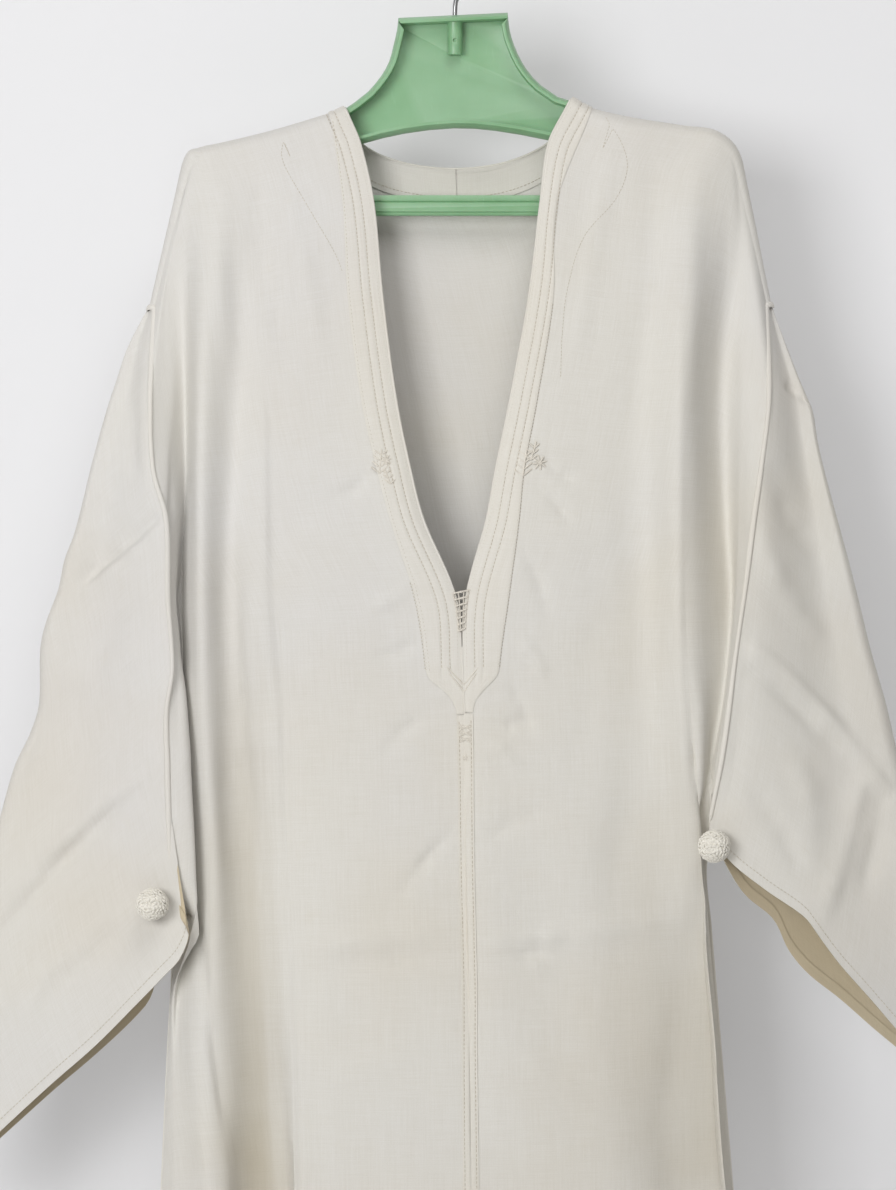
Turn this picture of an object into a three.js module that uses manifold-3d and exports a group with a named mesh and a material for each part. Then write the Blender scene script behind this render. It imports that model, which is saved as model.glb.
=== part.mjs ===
// A jebba, the long loose Tunisian robe, hanging on a moulded coat hanger.
// Millimetres, +Z up. The origin is the inside top of the hanger's hook, and
// the front of the robe faces -Y. "left" is the -X side.
//
// Every cloth piece is a thin wall round a surface P(u, v). Across the cloth, u
// runs over a few named lines (neck edge, folds, seams). Down the cloth, v goes
// 0..1 over the shoulder roll, 1..2 to the underarm and 2..3 to the hem.

import * as THREE from "three";
import Module from "manifold-3d";

const wasm = await Module();
wasm.setup();

// ---- driving sizes -------------------------------------------------------

const CLOTH = 1.2;            // wall of every cloth piece
const SEAM_GAP = 0.3;         // between two pieces at a seam
const TIGHT_GAP = 1.1;        // at the tight turns of the armhole seam
const LAY = CLOTH + SEAM_GAP; // how far a strip lies out from the cloth under it
const HEM_Z = -1475;
const BAND_WIDTH = 12;        // centre front band
const POMPOM_RADIUS = 13;
const WIRE_RADIUS = 1.9;
const HOOK_RADIUS = 20;       // inside of the hook
const HANGER_HALF_DEPTH = 9;
const HANGER_WALL = 2.2;
const HANGER_CROWN = 3.2;     // its top edge is rounded down by this at the rims

const CREAM = 0xe6e2da;
const THREAD = 0xf1eee6;
const MINT = 0xb5d6bd;

// ---- tables --------------------------------------------------------------

// Where each front line starts on the shoulder line or the side outline, and
// how high and how deep the cloth rolls over there.
const LEFT_TOP = [
  { line: "edge", x: -84, z: -133, roll: 8, depth: 12 },
  { line: "band", x: -96, z: -138, roll: 9, depth: 13 },
  { line: "crease", x: -139, z: -151, roll: 10, depth: 14 },
  { line: "trough", x: -176, z: -160, roll: 10, depth: 14 },
  { line: "ridge", x: -194, z: -164, roll: 10, depth: 14 },
  { line: "valley", x: -205, z: -171, roll: 8, depth: 11 },
  { line: "strip", x: -214, z: -207, roll: 6, depth: 7 },
  { line: "seam", x: -232, z: -285, roll: 4, depth: 5 },
];
const RIGHT_TOP = [
  { line: "edge", x: 89, z: -126, roll: 8, depth: 12 },
  { line: "band", x: 104, z: -134, roll: 9, depth: 13 },
  { line: "crease", x: 134, z: -141, roll: 10, depth: 14 },
  { line: "trough", x: 172, z: -147, roll: 10, depth: 14 },
  { line: "ridge", x: 198, z: -151, roll: 10, depth: 14 },
  { line: "valley", x: 215, z: -166, roll: 8, depth: 11 },
  { line: "strip", x: 223, z: -198, roll: 6, depth: 7 },
  { line: "seam", x: 240, z: -283, roll: 4, depth: 5 },
];

// Level sections of the left front, x of each line, then its depth to the front.
const LEFT_ACROSS = [
  { z: -162, edge: -72 },
  { z: -207, edge: -62, band: -85, crease: -118, trough: -154, ridge: -184, valley: -203 },
  { z: -279, edge: -55, band: -81, crease: -135, trough: -162, ridge: -188, valley: -205, strip: -219 },
  {
    z: -355, edge: -45, band: -71, crease: -144, trough: -167, ridge: -191, valley: -204,
    strip: -215, seam: -230,
  },
  {
    z: -409, edge: -34, band: -59, crease: -144, trough: -169, ridge: -192, valley: -204,
    strip: -214, seam: -227,
  },
  {
    z: -447, edge: -24, band: -49, crease: -144, trough: -171, ridge: -192, valley: -205,
    strip: -211, seam: -217,
  },
  {
    z: -507, edge: 1, band: -30, crease: -142, trough: -171, ridge: -192, valley: -207, strip: -209,
    seam: -216,
  },
  {
    z: -559, edge: 5, band: -22, crease: -138, trough: -169, ridge: -191, valley: -206, strip: -207,
    seam: -213,
  },
  {
    z: -590, edge: 7, band: -21, crease: -135, trough: -167, ridge: -190, valley: -207, strip: -204,
    seam: -217,
  },
  {
    z: -630, edge: 8, band: -19, crease: -133, trough: -166, ridge: -188, valley: -208, strip: -200,
    seam: -216,
  },
  {
    z: -715, edge: 9, band: -17, crease: -129, trough: -162, ridge: -183, valley: -206, strip: -195,
    seam: -214,
  },
  {
    z: -754, edge: 10, band: -17, crease: -128, trough: -160, ridge: -184, valley: -206,
    strip: -195, seam: -211,
  },
  {
    z: -800, edge: 11, band: -17, crease: -126, trough: -159, ridge: -186, valley: -208,
    strip: -212, seam: -215,
  },
  {
    z: -849, edge: 11, band: -17, crease: -125, trough: -157, ridge: -185, valley: -208,
    strip: -214, seam: -218,
  },
  {
    z: -956, edge: 12, band: -17, crease: -122, trough: -154, ridge: -177, valley: -208,
    strip: -216, seam: -223,
  },
  {
    z: -1191, edge: 14, band: -17, crease: -119, trough: -153, ridge: -179, valley: -213,
    strip: -225, seam: -234,
  },
  {
    z: -1475, edge: 17, band: -14, crease: -116, trough: -156, ridge: -186, valley: -222,
    strip: -237, seam: -248,
  },
];
const LEFT_DEPTH = [
  { z: -162, edge: 15 },
  { z: -207, edge: 19, band: 20, crease: 19, trough: 18, ridge: 19, valley: 12 },
  { z: -279, edge: 22, band: 24, crease: 24, trough: 21, ridge: 27, valley: 8, strip: 10 },
  { z: -355, edge: 25, band: 28, crease: 28, trough: 22, ridge: 33, valley: 5, strip: 15, seam: 24 },
  { z: -409, edge: 27, band: 31, crease: 30, trough: 22, ridge: 35, valley: 4, strip: 20, seam: 32 },
  { z: -447, edge: 29, band: 33, crease: 31, trough: 22, ridge: 36, valley: 4, strip: 24, seam: 36 },
  { z: -507, edge: 31, band: 34, crease: 32, trough: 22, ridge: 36, valley: 4, strip: 28, seam: 39 },
  { z: -559, edge: 33, band: 34, crease: 32, trough: 22, ridge: 35, valley: 6, strip: 30, seam: 40 },
  { z: -590, edge: 33, band: 34, crease: 32, trough: 22, ridge: 33, valley: 6, strip: 33, seam: 41 },
  { z: -630, edge: 33, band: 34, crease: 32, trough: 22, ridge: 31, valley: 6, strip: 36, seam: 42 },
  { z: -715, edge: 33, band: 34, crease: 32, trough: 22, ridge: 29, valley: 6, strip: 36, seam: 38 },
  { z: -754, edge: 33, band: 34, crease: 32, trough: 22, ridge: 28, valley: 4, strip: 32, seam: 18 },
  { z: -800, edge: 33, band: 34, crease: 32, trough: 22, ridge: 28, valley: 8, strip: 14, seam: 4 },
  { z: -849, edge: 33, band: 34, crease: 32, trough: 22, ridge: 28, valley: 12, strip: 9, seam: 2 },
  { z: -956, edge: 34, band: 34, crease: 33, trough: 22, ridge: 29, valley: 14, strip: 8, seam: 0 },
  { z: -1191, edge: 36, band: 36, crease: 35, trough: 24, ridge: 30, valley: 16, strip: 8, seam: 0 },
  { z: -1475, edge: 38, band: 38, crease: 38, trough: 26, ridge: 32, valley: 20, strip: 10, seam: 0 },
];

const RIGHT_ACROSS = [
  { z: -162, edge: 71 },
  { z: -207, edge: 65, band: 77, crease: 112, trough: 148, ridge: 180, valley: 208 },
  { z: -279, edge: 56, band: 74, crease: 110, trough: 145, ridge: 176, valley: 205, strip: 221 },
  { z: -355, edge: 42, band: 62, crease: 109, trough: 144, ridge: 173, valley: 201, strip: 218, seam: 237 },
  { z: -409, edge: 31, band: 52, crease: 107, trough: 143, ridge: 172, valley: 202, strip: 216, seam: 230 },
  { z: -447, edge: 24, band: 48, crease: 106, trough: 143, ridge: 171, valley: 204, strip: 215, seam: 224 },
  { z: -507, edge: 8, band: 40, crease: 104, trough: 143, ridge: 172, valley: 207, strip: 212, seam: 217 },
  { z: -559, edge: 6.5, band: 33, crease: 103, trough: 144, ridge: 174, valley: 203, strip: 207, seam: 210 },
  { z: -590, edge: 7.6, band: 33, crease: 103, trough: 145, ridge: 176, valley: 199, strip: 203, seam: 206 },
  { z: -630, edge: 8.2, band: 33, crease: 103, trough: 147, ridge: 180, valley: 192, strip: 196, seam: 200 },
  { z: -675, edge: 8.5, band: 33, crease: 103, trough: 150, ridge: 184, valley: 187, strip: 190, seam: 192 },
  { z: -715, edge: 9, band: 33, crease: 103, trough: 151, ridge: 188, valley: 190, strip: 191, seam: 190 },
  { z: -754, edge: 10, band: 33, crease: 104, trough: 153, ridge: 193, valley: 195, strip: 196, seam: 194 },
  { z: -800, edge: 11, band: 33, crease: 106, trough: 154, ridge: 198, valley: 200, strip: 200, seam: 198 },
  { z: -849, edge: 11, band: 34, crease: 107, trough: 157, ridge: 203, valley: 205, strip: 205, seam: 202 },
  { z: -956, edge: 12, band: 36, crease: 110, trough: 162, ridge: 211, valley: 214, strip: 214, seam: 211 },
  { z: -1191, edge: 14, band: 39, crease: 118, trough: 174, ridge: 230, valley: 234, strip: 234, seam: 230 },
  { z: -1475, edge: 17, band: 43, crease: 128, trough: 191, ridge: 253, valley: 258, strip: 258, seam: 254 },
];
const RIGHT_DEPTH = [
  { z: -162, edge: 15 },
  { z: -207, edge: 19, band: 21, crease: 19, trough: 18, ridge: 20, valley: 11 },
  { z: -279, edge: 22, band: 24, crease: 23, trough: 21, ridge: 30, valley: 6, strip: 9 },
  { z: -355, edge: 25, band: 28, crease: 26, trough: 23, ridge: 37, valley: 4, strip: 18, seam: 26 },
  { z: -409, edge: 27, band: 31, crease: 27, trough: 23, ridge: 40, valley: 4, strip: 22, seam: 34 },
  { z: -447, edge: 29, band: 33, crease: 28, trough: 23, ridge: 41, valley: 5, strip: 24, seam: 37 },
  { z: -507, edge: 31, band: 34, crease: 29, trough: 23, ridge: 42, valley: 10, strip: 27, seam: 38 },
  { z: -559, edge: 33, band: 34, crease: 29, trough: 23, ridge: 42, valley: 18, strip: 28, seam: 38 },
  { z: -590, edge: 33, band: 34, crease: 29, trough: 24, ridge: 41, valley: 22, strip: 30, seam: 38 },
  { z: -630, edge: 33, band: 34, crease: 29, trough: 25, ridge: 40, valley: 26, strip: 32, seam: 37 },
  { z: -675, edge: 33, band: 34, crease: 29, trough: 25, ridge: 36, valley: 27, strip: 28, seam: 31 },
  { z: -715, edge: 33, band: 34, crease: 29, trough: 25, ridge: 30, valley: 21, strip: 15, seam: 8 },
  { z: -754, edge: 33, band: 34, crease: 29, trough: 25, ridge: 26, valley: 16, strip: 9, seam: 2 },
  { z: -800, edge: 33, band: 34, crease: 29, trough: 25, ridge: 23, valley: 13, strip: 6, seam: 0 },
  { z: -849, edge: 33, band: 34, crease: 30, trough: 25, ridge: 21, valley: 12, strip: 6, seam: 0 },
  { z: -956, edge: 34, band: 34, crease: 30, trough: 26, ridge: 20, valley: 12, strip: 6, seam: 0 },
  { z: -1191, edge: 36, band: 36, crease: 32, trough: 28, ridge: 20, valley: 12, strip: 6, seam: 0 },
  { z: -1475, edge: 38, band: 38, crease: 34, trough: 30, ridge: 20, valley: 12, strip: 6, seam: 0 },
];

// The back: its top line, with the neck curve in the middle, then its sections.
const BACK_TOP = [
  { line: "seamL", x: -232, z: -285, roll: 4, depth: 5 },
  { line: "valleyL", x: -209, z: -186, roll: 8, depth: 10 },
  { line: "ridgeL", x: -194, z: -164, roll: 10, depth: 14 },
  { line: "midL", x: -139, z: -151, roll: 10, depth: 14 },
  { line: "sideL", x: -86, z: -133.5, roll: 8, depth: 12 },
  { line: "turnL", x: -87, z: -139, roll: 4, depth: 2, y: 11 },
  { line: "neckL", x: -68, z: -162, roll: 4, depth: 2, y: 13.5 },
  { line: "napeL", x: -38, z: -174, roll: 4, depth: 1, y: 17 },
  { line: "centre", x: 1, z: -178, roll: 4, depth: 1, y: 19 },
  { line: "napeR", x: 40, z: -173, roll: 4, depth: 1, y: 17 },
  { line: "neckR", x: 72, z: -158, roll: 4, depth: 2, y: 13.5 },
  { line: "turnR", x: 92, z: -133, roll: 4, depth: 2, y: 11 },
  { line: "sideR", x: 91, z: -126.8, roll: 8, depth: 12 },
  { line: "midR", x: 134, z: -141, roll: 10, depth: 14 },
  { line: "ridgeR", x: 198, z: -150.6, roll: 10, depth: 15 },
  { line: "valleyR", x: 219, z: -180, roll: 8, depth: 10 },
  { line: "seamR", x: 240, z: -283, roll: 4, depth: 5 },
];
const BACK_ACROSS = [
  {
    z: -215, ridgeL: -188, midL: -133, sideL: -88, turnL: -82, neckL: -68, napeL: -37, centre: 2,
    napeR: 41, neckR: 72, turnR: 86, sideR: 92, midR: 134, ridgeR: 190,
  },
  {
    z: -320, seamL: -231, valleyL: -207, ridgeL: -178, midL: -134, sideL: -92, turnL: -86,
    neckL: -68, napeL: -37, centre: 3, napeR: 43, neckR: 75, turnR: 91, sideR: 97, midR: 138,
    ridgeR: 178, valleyR: 208, seamR: 238,
  },
  {
    z: -450, seamL: -224, valleyL: -204, ridgeL: -170, midL: -136, sideL: -97, turnL: -91,
    neckL: -69, napeL: -36, centre: 4, napeR: 44, neckR: 76, turnR: 95, sideR: 101, midR: 140,
    ridgeR: 171, valleyR: 203, seamR: 226,
  },
  {
    z: -570, seamL: -219, valleyL: -206, ridgeL: -172, midL: -139, sideL: -99, turnL: -93,
    neckL: -69, napeL: -35, centre: 5, napeR: 45, neckR: 77, turnR: 96, sideR: 102, midR: 138,
    ridgeR: 166, valleyR: 197, seamR: 210,
  },
  {
    z: -690, seamL: -217, valleyL: -212, ridgeL: -178, midL: -141, sideL: -100, turnL: -94,
    neckL: -70, napeL: -33, centre: 7, napeR: 46, neckR: 78, turnR: 98, sideR: 104, midR: 139,
    ridgeR: 164, valleyR: 188,
  },
  {
    z: -800, valleyL: -211, ridgeL: -182, midL: -144, sideL: -101, turnL: -95, neckL: -71,
    napeL: -32, centre: 8, napeR: 48, neckR: 80, turnR: 101, sideR: 107, midR: 142, ridgeR: 168,
    valleyR: 190,
  },
  {
    z: -1100, valleyL: -219, ridgeL: -186, midL: -148, sideL: -103, turnL: -97, neckL: -72,
    napeL: -31, centre: 11, napeR: 53, neckR: 88, turnR: 113, sideR: 119, midR: 156, ridgeR: 190,
    valleyR: 213,
  },
  {
    z: -1475, valleyL: -236, ridgeL: -196, midL: -152, sideL: -106, turnL: -100, neckL: -74,
    napeL: -30, centre: 14, napeR: 58, neckR: 97, turnR: 126, sideR: 132, midR: 178, ridgeR: 216,
    valleyR: 242,
  },
];
const BACK_DEPTH = [
  {
    z: -215, ridgeL: 18, midL: 17, sideL: 17, turnL: 18, neckL: 18, napeL: 19, centre: 20,
    napeR: 19, neckR: 18, turnR: 18, sideR: 17, midR: 16, ridgeR: 18,
  },
  {
    z: -320, seamL: 12, valleyL: 9, ridgeL: 24, midL: 20, sideL: 24, turnL: 23, neckL: 22,
    napeL: 24, centre: 24, napeR: 22, neckR: 23, turnR: 22, sideR: 21, midR: 18, ridgeR: 25,
    valleyR: 9, seamR: 12,
  },
  {
    z: -450, seamL: 20, valleyL: 9, ridgeL: 27, midL: 19, sideL: 27, turnL: 26, neckL: 24,
    napeL: 27, centre: 26, napeR: 23, neckR: 26, turnR: 24, sideR: 23, midR: 18, ridgeR: 28,
    valleyR: 10, seamR: 20,
  },
  {
    z: -570, seamL: 18, valleyL: 10, ridgeL: 28, midL: 19, sideL: 29, turnL: 27, neckL: 25,
    napeL: 28, centre: 27, napeR: 24, neckR: 28, turnR: 26, sideR: 24, midR: 19, ridgeR: 29,
    valleyR: 13, seamR: 14,
  },
  {
    z: -690, seamL: -6, valleyL: 10, ridgeL: 28, midL: 20, sideL: 30, turnL: 28, neckL: 26,
    napeL: 29, centre: 28, napeR: 25, neckR: 30, turnR: 28, sideR: 26, midR: 20, ridgeR: 28,
    valleyR: 14,
  },
  {
    z: -800, valleyL: 11, ridgeL: 27, midL: 20, sideL: 31, turnL: 28, neckL: 26, napeL: 30,
    centre: 29, napeR: 25, neckR: 31, turnR: 29, sideR: 27, midR: 21, ridgeR: 27, valleyR: 14,
  },
  {
    z: -1100, valleyL: 14, ridgeL: 28, midL: 21, sideL: 33, turnL: 30, neckL: 27, napeL: 32,
    centre: 31, napeR: 27, neckR: 33, turnR: 31, sideR: 29, midR: 22, ridgeR: 27, valleyR: 15,
  },
  {
    z: -1475, valleyL: 17, ridgeL: 30, midL: 23, sideL: 36, turnL: 32, neckL: 29, napeL: 35,
    centre: 34, napeR: 30, neckR: 36, turnR: 34, sideR: 32, midR: 24, ridgeR: 28, valleyR: 16,
  },
];

// The sleeves: the folded outer edge from the shoulder to the tip, and the two
// edges of the open cuff from the underarm to the tip.
const LEFT_SLEEVE = {
  underarm: { x: -215, y: -34, z: -730 },
  fold: [
    { z: -285, x: -232 }, { z: -295, x: -238 }, { z: -317, x: -249 }, { z: -339, x: -256 },
    { z: -371, x: -266 }, { z: -406, x: -276 }, { z: -458, x: -289 }, { z: -477, x: -296 },
    { z: -500, x: -301 }, { z: -526, x: -311 }, { z: -545, x: -315 }, { z: -587, x: -316 },
    { z: -610, x: -323 }, { z: -633, x: -334 }, { z: -672, x: -346 }, { z: -758, x: -369 },
    { z: -842, x: -384 }, { z: -910, x: -392 }, { z: -950, x: -391 },
  ],
  cuffFront: [
    { x: -215, z: -730, y: -34 }, { x: -206, z: -744, y: -42 }, { x: -200, z: -758, y: -43 },
    { x: -207, z: -777, y: -42 }, { x: -216, z: -787, y: -40 }, { x: -239, z: -811, y: -34 },
    { x: -271, z: -843, y: -28 }, { x: -306, z: -874, y: -23 }, { x: -346, z: -911, y: -18 },
    { x: -380, z: -944, y: -11 }, { x: -391, z: -950, y: -6 },
  ],
  cuffBack: [
    { x: -216, z: -730, y: -33 }, { x: -220, z: -756, y: -18 }, { x: -226, z: -784, y: -6 },
    { x: -230, z: -806, y: 0 }, { x: -238, z: -819, y: 3 }, { x: -271, z: -851, y: 6 },
    { x: -306, z: -881, y: 8 }, { x: -346, z: -917, y: 8 }, { x: -380, z: -947, y: 7 },
    { x: -391, z: -950, y: 5 },
  ],
};
const RIGHT_SLEEVE = {
  underarm: { x: 192, y: -30, z: -682 },
  fold: [
    { z: -283, x: 240 }, { z: -297, x: 245 }, { z: -341, x: 262 }, { z: -362, x: 271 },
    { z: -389, x: 276 }, { z: -418, x: 283 }, { z: -467, x: 296 }, { z: -507, x: 306 },
    { z: -545, x: 315 }, { z: -587, x: 327 }, { z: -621, x: 335 }, { z: -705, x: 357 },
    { z: -781, x: 371 }, { z: -842, x: 379 }, { z: -880, x: 380 },
  ],
  cuffFront: [
    { x: 192, z: -682, y: -30 }, { x: 206, z: -703, y: -35 }, { x: 233, z: -725, y: -34 },
    { x: 263, z: -746, y: -32 }, { x: 272, z: -758, y: -31 }, { x: 290, z: -782, y: -28 },
    { x: 315, z: -810, y: -24 }, { x: 335, z: -833, y: -20 }, { x: 368, z: -870, y: -12 },
    { x: 380, z: -880, y: -6 },
  ],
  cuffBack: [
    { x: 193, z: -682, y: -29 }, { x: 205, z: -708, y: -16 }, { x: 220, z: -731, y: -6 },
    { x: 242, z: -750, y: 1 }, { x: 254, z: -774, y: 4 }, { x: 269, z: -792, y: 6 },
    { x: 293, z: -811, y: 8 }, { x: 324, z: -838, y: 8 }, { x: 368, z: -873, y: 7 },
    { x: 380, z: -880, y: 5 },
  ],
};

// Half of the hanger's outline that the cloth leaves bare, from the middle of
// its top out to the neck side, and its lower arch from the middle outward.
const HANGER_RIGHT_NECK = [
  { x: 40, z: -61 }, { x: 41, z: -70 }, { x: 43, z: -80 }, { x: 48, z: -93 },
  { x: 55, z: -105 }, { x: 65, z: -116 }, { x: 78, z: -125 },
];
const HANGER_LEFT_NECK = [
  { x: -43, z: -65 }, { x: -44, z: -74 }, { x: -47, z: -87 }, { x: -50, z: -98 },
  { x: -56, z: -109 }, { x: -66, z: -121 }, { x: -76, z: -129 },
];
const HANGER_RIGHT_ARCH = [
  { x: -1, z: -149 }, { x: 31, z: -151 }, { x: 70, z: -158 }, { x: 115, z: -169 },
  { x: 165, z: -178 }, { x: 186, z: -182 },
];
const HANGER_LEFT_ARCH = [
  { x: -38, z: -153 }, { x: -71, z: -161 }, { x: -115, z: -175 }, { x: -160, z: -186 },
  { x: -178, z: -190 },
];
const BAR = { left: -188, right: 196, top: -200, bottom: -215.5, halfDepth: 4, lug: 9 };

// ---- reading the tables --------------------------------------------------

const mix = (a, b, t) => a + (b - a) * t;
const ease = (t) => t * t * (3 - 2 * t);
const clamp01 = (t) => Math.min(1, Math.max(0, t));

// A smooth value of `key` at `at` along rows sorted by `by`.
function along(rows, by, at, key) {
  let i = 0;
  const order = Math.sign(rows[1][by] - rows[0][by]);
  while (i < rows.length - 2 && (rows[i + 1][by] - at) * order < 0) i += 1;
  const slope = (j) => {
    const a = rows[Math.max(0, j - 1)];
    const b = rows[Math.min(rows.length - 1, j + 1)];
    return (b[key] - a[key]) / (b[by] - a[by]);
  };
  const span = rows[i + 1][by] - rows[i][by];
  const t = clamp01((at - rows[i][by]) / span);
  const t2 = t * t;
  const t3 = t2 * t;
  return (2 * t3 - 3 * t2 + 1) * rows[i][key] + (t3 - 2 * t2 + t) * span * slope(i)
    + (3 * t2 - 2 * t3) * rows[i + 1][key] + (t3 - t2) * span * slope(i + 1);
}

// A smooth point between evenly counted control points.
function across(points, u) {
  const last = points.length - 1;
  const i = Math.min(last - 1, Math.max(0, Math.floor(u)));
  const t = u - i;
  const p = (j) => points[Math.min(last, Math.max(0, j))];
  const blend = (axis) => {
    const [a, b, c, d] = [p(i - 1)[axis], p(i)[axis], p(i + 1)[axis], p(i + 2)[axis]];
    return b + 0.5 * t * (c - a + t * (2 * a - 5 * b + 4 * c - d + t * (3 * (b - c) + d - a)));
  };
  return new THREE.Vector3(blend("x"), blend("y"), blend("z"));
}

// The way into the cloth from each point of a top line, in the XZ plane.
function inwardAt(top, i) {
  const a = top[Math.max(0, i - 1)];
  const b = top[Math.min(top.length - 1, i + 1)];
  const way = new THREE.Vector3(-(b.z - a.z), 0, b.x - a.x).normalize();
  return b.x > a.x ? way.negate() : way;
}

// One named line of a panel, from its start on the top line to the hem.
function makeLine(top, i, xRows, yRows, side, underarm) {
  const start = top[i];
  const name = start.line;
  const inward = inwardAt(top, i);
  const startY = start.y ?? 0;
  const first = {
    x: start.x + inward.x * start.roll,
    y: startY + side * start.depth,
    z: start.z + inward.z * start.roll,
  };
  const rows = [first];
  xRows.forEach((row, k) => {
    if (row[name] !== undefined && row.z < first.z - 12) {
      rows.push({ z: row.z, x: row[name], y: side * yRows[k][name] });
    }
  });
  if (underarm) rows.push(underarm);
  rows.sort((a, b) => b.z - a.z);
  return { start, startY, inward, first, rows, side };
}

function linePoint(line, v, middleZ) {
  const { start, startY, inward, first, rows, side } = line;
  if (v < 1) {
    const angle = v * Math.PI / 2;
    const drop = start.roll * (1 - Math.cos(angle));
    return new THREE.Vector3(
      start.x + inward.x * drop,
      startY + side * start.depth * Math.sin(angle),
      start.z + inward.z * drop,
    );
  }
  const z = v < 2 ? mix(first.z, middleZ, v - 1) : mix(middleZ, HEM_Z, v - 2);
  return new THREE.Vector3(along(rows, "z", z, "x"), along(rows, "z", z, "y"), z);
}

// ---- the cloth's surfaces ------------------------------------------------

const SIDES = {
  left: { sign: -1, top: LEFT_TOP, x: LEFT_ACROSS, y: LEFT_DEPTH, sleeve: LEFT_SLEEVE },
  right: { sign: 1, top: RIGHT_TOP, x: RIGHT_ACROSS, y: RIGHT_DEPTH, sleeve: RIGHT_SLEEVE },
};
const SEAM = LEFT_TOP.length - 1;
const CENTRE_MIDDLE_Z = -706;

for (const side of Object.values(SIDES)) {
  side.lines = side.top.map((_, i) =>
    makeLine(side.top, i, side.x, side.y, -1, i === SEAM ? side.sleeve.underarm : null));
  side.apex = side.top[SEAM];
}

// The front: u = 0 at the neck edge and centre front, SEAM at the armhole.
function front(side, u, v) {
  const drop = (i) => mix(CENTRE_MIDDLE_Z, side.sleeve.underarm.z, (i / SEAM) ** 2);
  return across(side.lines.map((line, i) => linePoint(line, v, drop(i))), u);
}

const BACK_LAST = BACK_TOP.length - 1;
const backLines = BACK_TOP.map((_, i) => {
  const side = i === 0 ? SIDES.left : SIDES.right;
  const seam = i === 0 || i === BACK_LAST;
  const line = makeLine(BACK_TOP, i, BACK_ACROSS, BACK_DEPTH, 1, seam ? side.sleeve.underarm : null);
  if (seam) {
    const below = side.lines[SEAM].rows.filter((row) => row.z < side.sleeve.underarm.z);
    line.rows = [...line.rows.filter((row) => row.z >= side.sleeve.underarm.z), ...below];
    line.inward = side.lines[SEAM].inward;
    line.first.x = side.lines[SEAM].first.x;
    line.first.z = side.lines[SEAM].first.z;
    line.rows[0].x = line.first.x;
    line.rows[0].z = line.first.z;
  }
  return line;
});

// The back: u = 0 at the left armhole, BACK_LAST at the right one.
function back(u, v) {
  const share = (i) => (2 * i / BACK_LAST - 1) ** 2;
  const under = (i) => (i < BACK_LAST / 2 ? SIDES.left : SIDES.right).sleeve.underarm.z;
  const middle = (i) => mix(CENTRE_MIDDLE_Z, under(i), share(i));
  const point = across(backLines.map((line, i) => linePoint(line, v, middle(i))), u);
  if (v < 1) point.y = Math.max(0, point.y);
  return point;
}

// A cuff edge measured from 0 at the underarm to 1 at the tip.
function measured(edge) {
  let length = 0;
  const rows = edge.map((p, i) => {
    if (i > 0) length += Math.hypot(p.x - edge[i - 1].x, p.z - edge[i - 1].z);
    return { ...p, s: length };
  });
  return rows.map((row) => ({ ...row, s: row.s / length }));
}
for (const side of Object.values(SIDES)) {
  side.cuffFront = measured(side.sleeve.cuffFront);
  side.cuffBack = measured(side.sleeve.cuffBack);
}

const SLEEVE_HALF_DEPTH = 9;  // half the thickness of the flat, folded sleeve
const FOLD_ROUND = 0.1;       // share of the sleeve's width that rounds the fold

// A sleeve: u = 0 at the front armhole, 0.5 at the outer fold, 1 at the back.
function sleeve(side, u, v) {
  const toFront = u <= 0.5;
  const out = toFront ? 2 * u : 2 * (1 - u);
  const seam = toFront ? front(side, SEAM, v) : back(side.sign < 0 ? 0 : BACK_LAST, v);
  const { underarm, fold } = side.sleeve;
  const tip = fold[fold.length - 1];
  const drop = clamp01((side.apex.z - seam.z) / (side.apex.z - underarm.z));
  const foldZ = mix(side.apex.z, tip.z, drop);
  const foldX = along(fold, "z", foldZ, "x");
  const cuff = toFront ? side.cuffFront : side.cuffBack;
  const pull = drop ** 3;
  const edge = {
    x: along(cuff, "s", out, "x"), y: along(cuff, "s", out, "y"), z: along(cuff, "s", out, "z"),
  };
  const halfDepth = (toFront ? -1 : 1) * SLEEVE_HALF_DEPTH * ease(clamp01(drop * 5));
  const turn = clamp01((out - 1 + FOLD_ROUND) / FOLD_ROUND);
  const rounding = Math.sqrt(1 - turn ** 2);
  const flatY = mix(seam.y, halfDepth, ease(clamp01(out * 1.5)));
  return new THREE.Vector3(
    mix(seam.x, foldX, out) + pull * (edge.x - mix(underarm.x, tip.x, out)),
    mix(flatY, edge.y, pull * ease(clamp01(out * 12))) * rounding,
    mix(seam.z, foldZ, out) + pull * (edge.z - mix(underarm.z, tip.z, out)),
  );
}

// ---- turning surfaces into walls -----------------------------------------

// A grid of points and outward normals; `outward` says which way is out.
function sheet(surface, us, vs, outward) {
  const points = vs.map((v) => us.map((u) => surface(u, v)));
  const normals = points.map((row, k) => row.map((p, c) => {
    const before = row[Math.max(0, c - 1)];
    const after = row[Math.min(us.length - 1, c + 1)];
    const above = points[Math.max(0, k - 1)][c];
    const below = points[Math.min(vs.length - 1, k + 1)][c];
    const n = after.clone().sub(before).cross(below.clone().sub(above));
    return n.lengthSq() < 1e-9 ? new THREE.Vector3() : n.normalize();
  }));
  const middle = normals[Math.floor(vs.length / 2)][Math.floor(us.length * 0.25)];
  if (middle.dot(outward) < 0) normals.forEach((row) => row.forEach((n) => n.negate()));
  return { points, normals };
}

// Gives two pieces one normal along the seam that they share.
function shareNormals(...edges) {
  const count = edges[0].length;
  for (let k = 0; k < count; k += 1) {
    const sum = edges.reduce((total, edge) => total.add(edge[k]), new THREE.Vector3()).normalize();
    edges.forEach((edge) => edge[k].copy(sum));
  }
}

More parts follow.
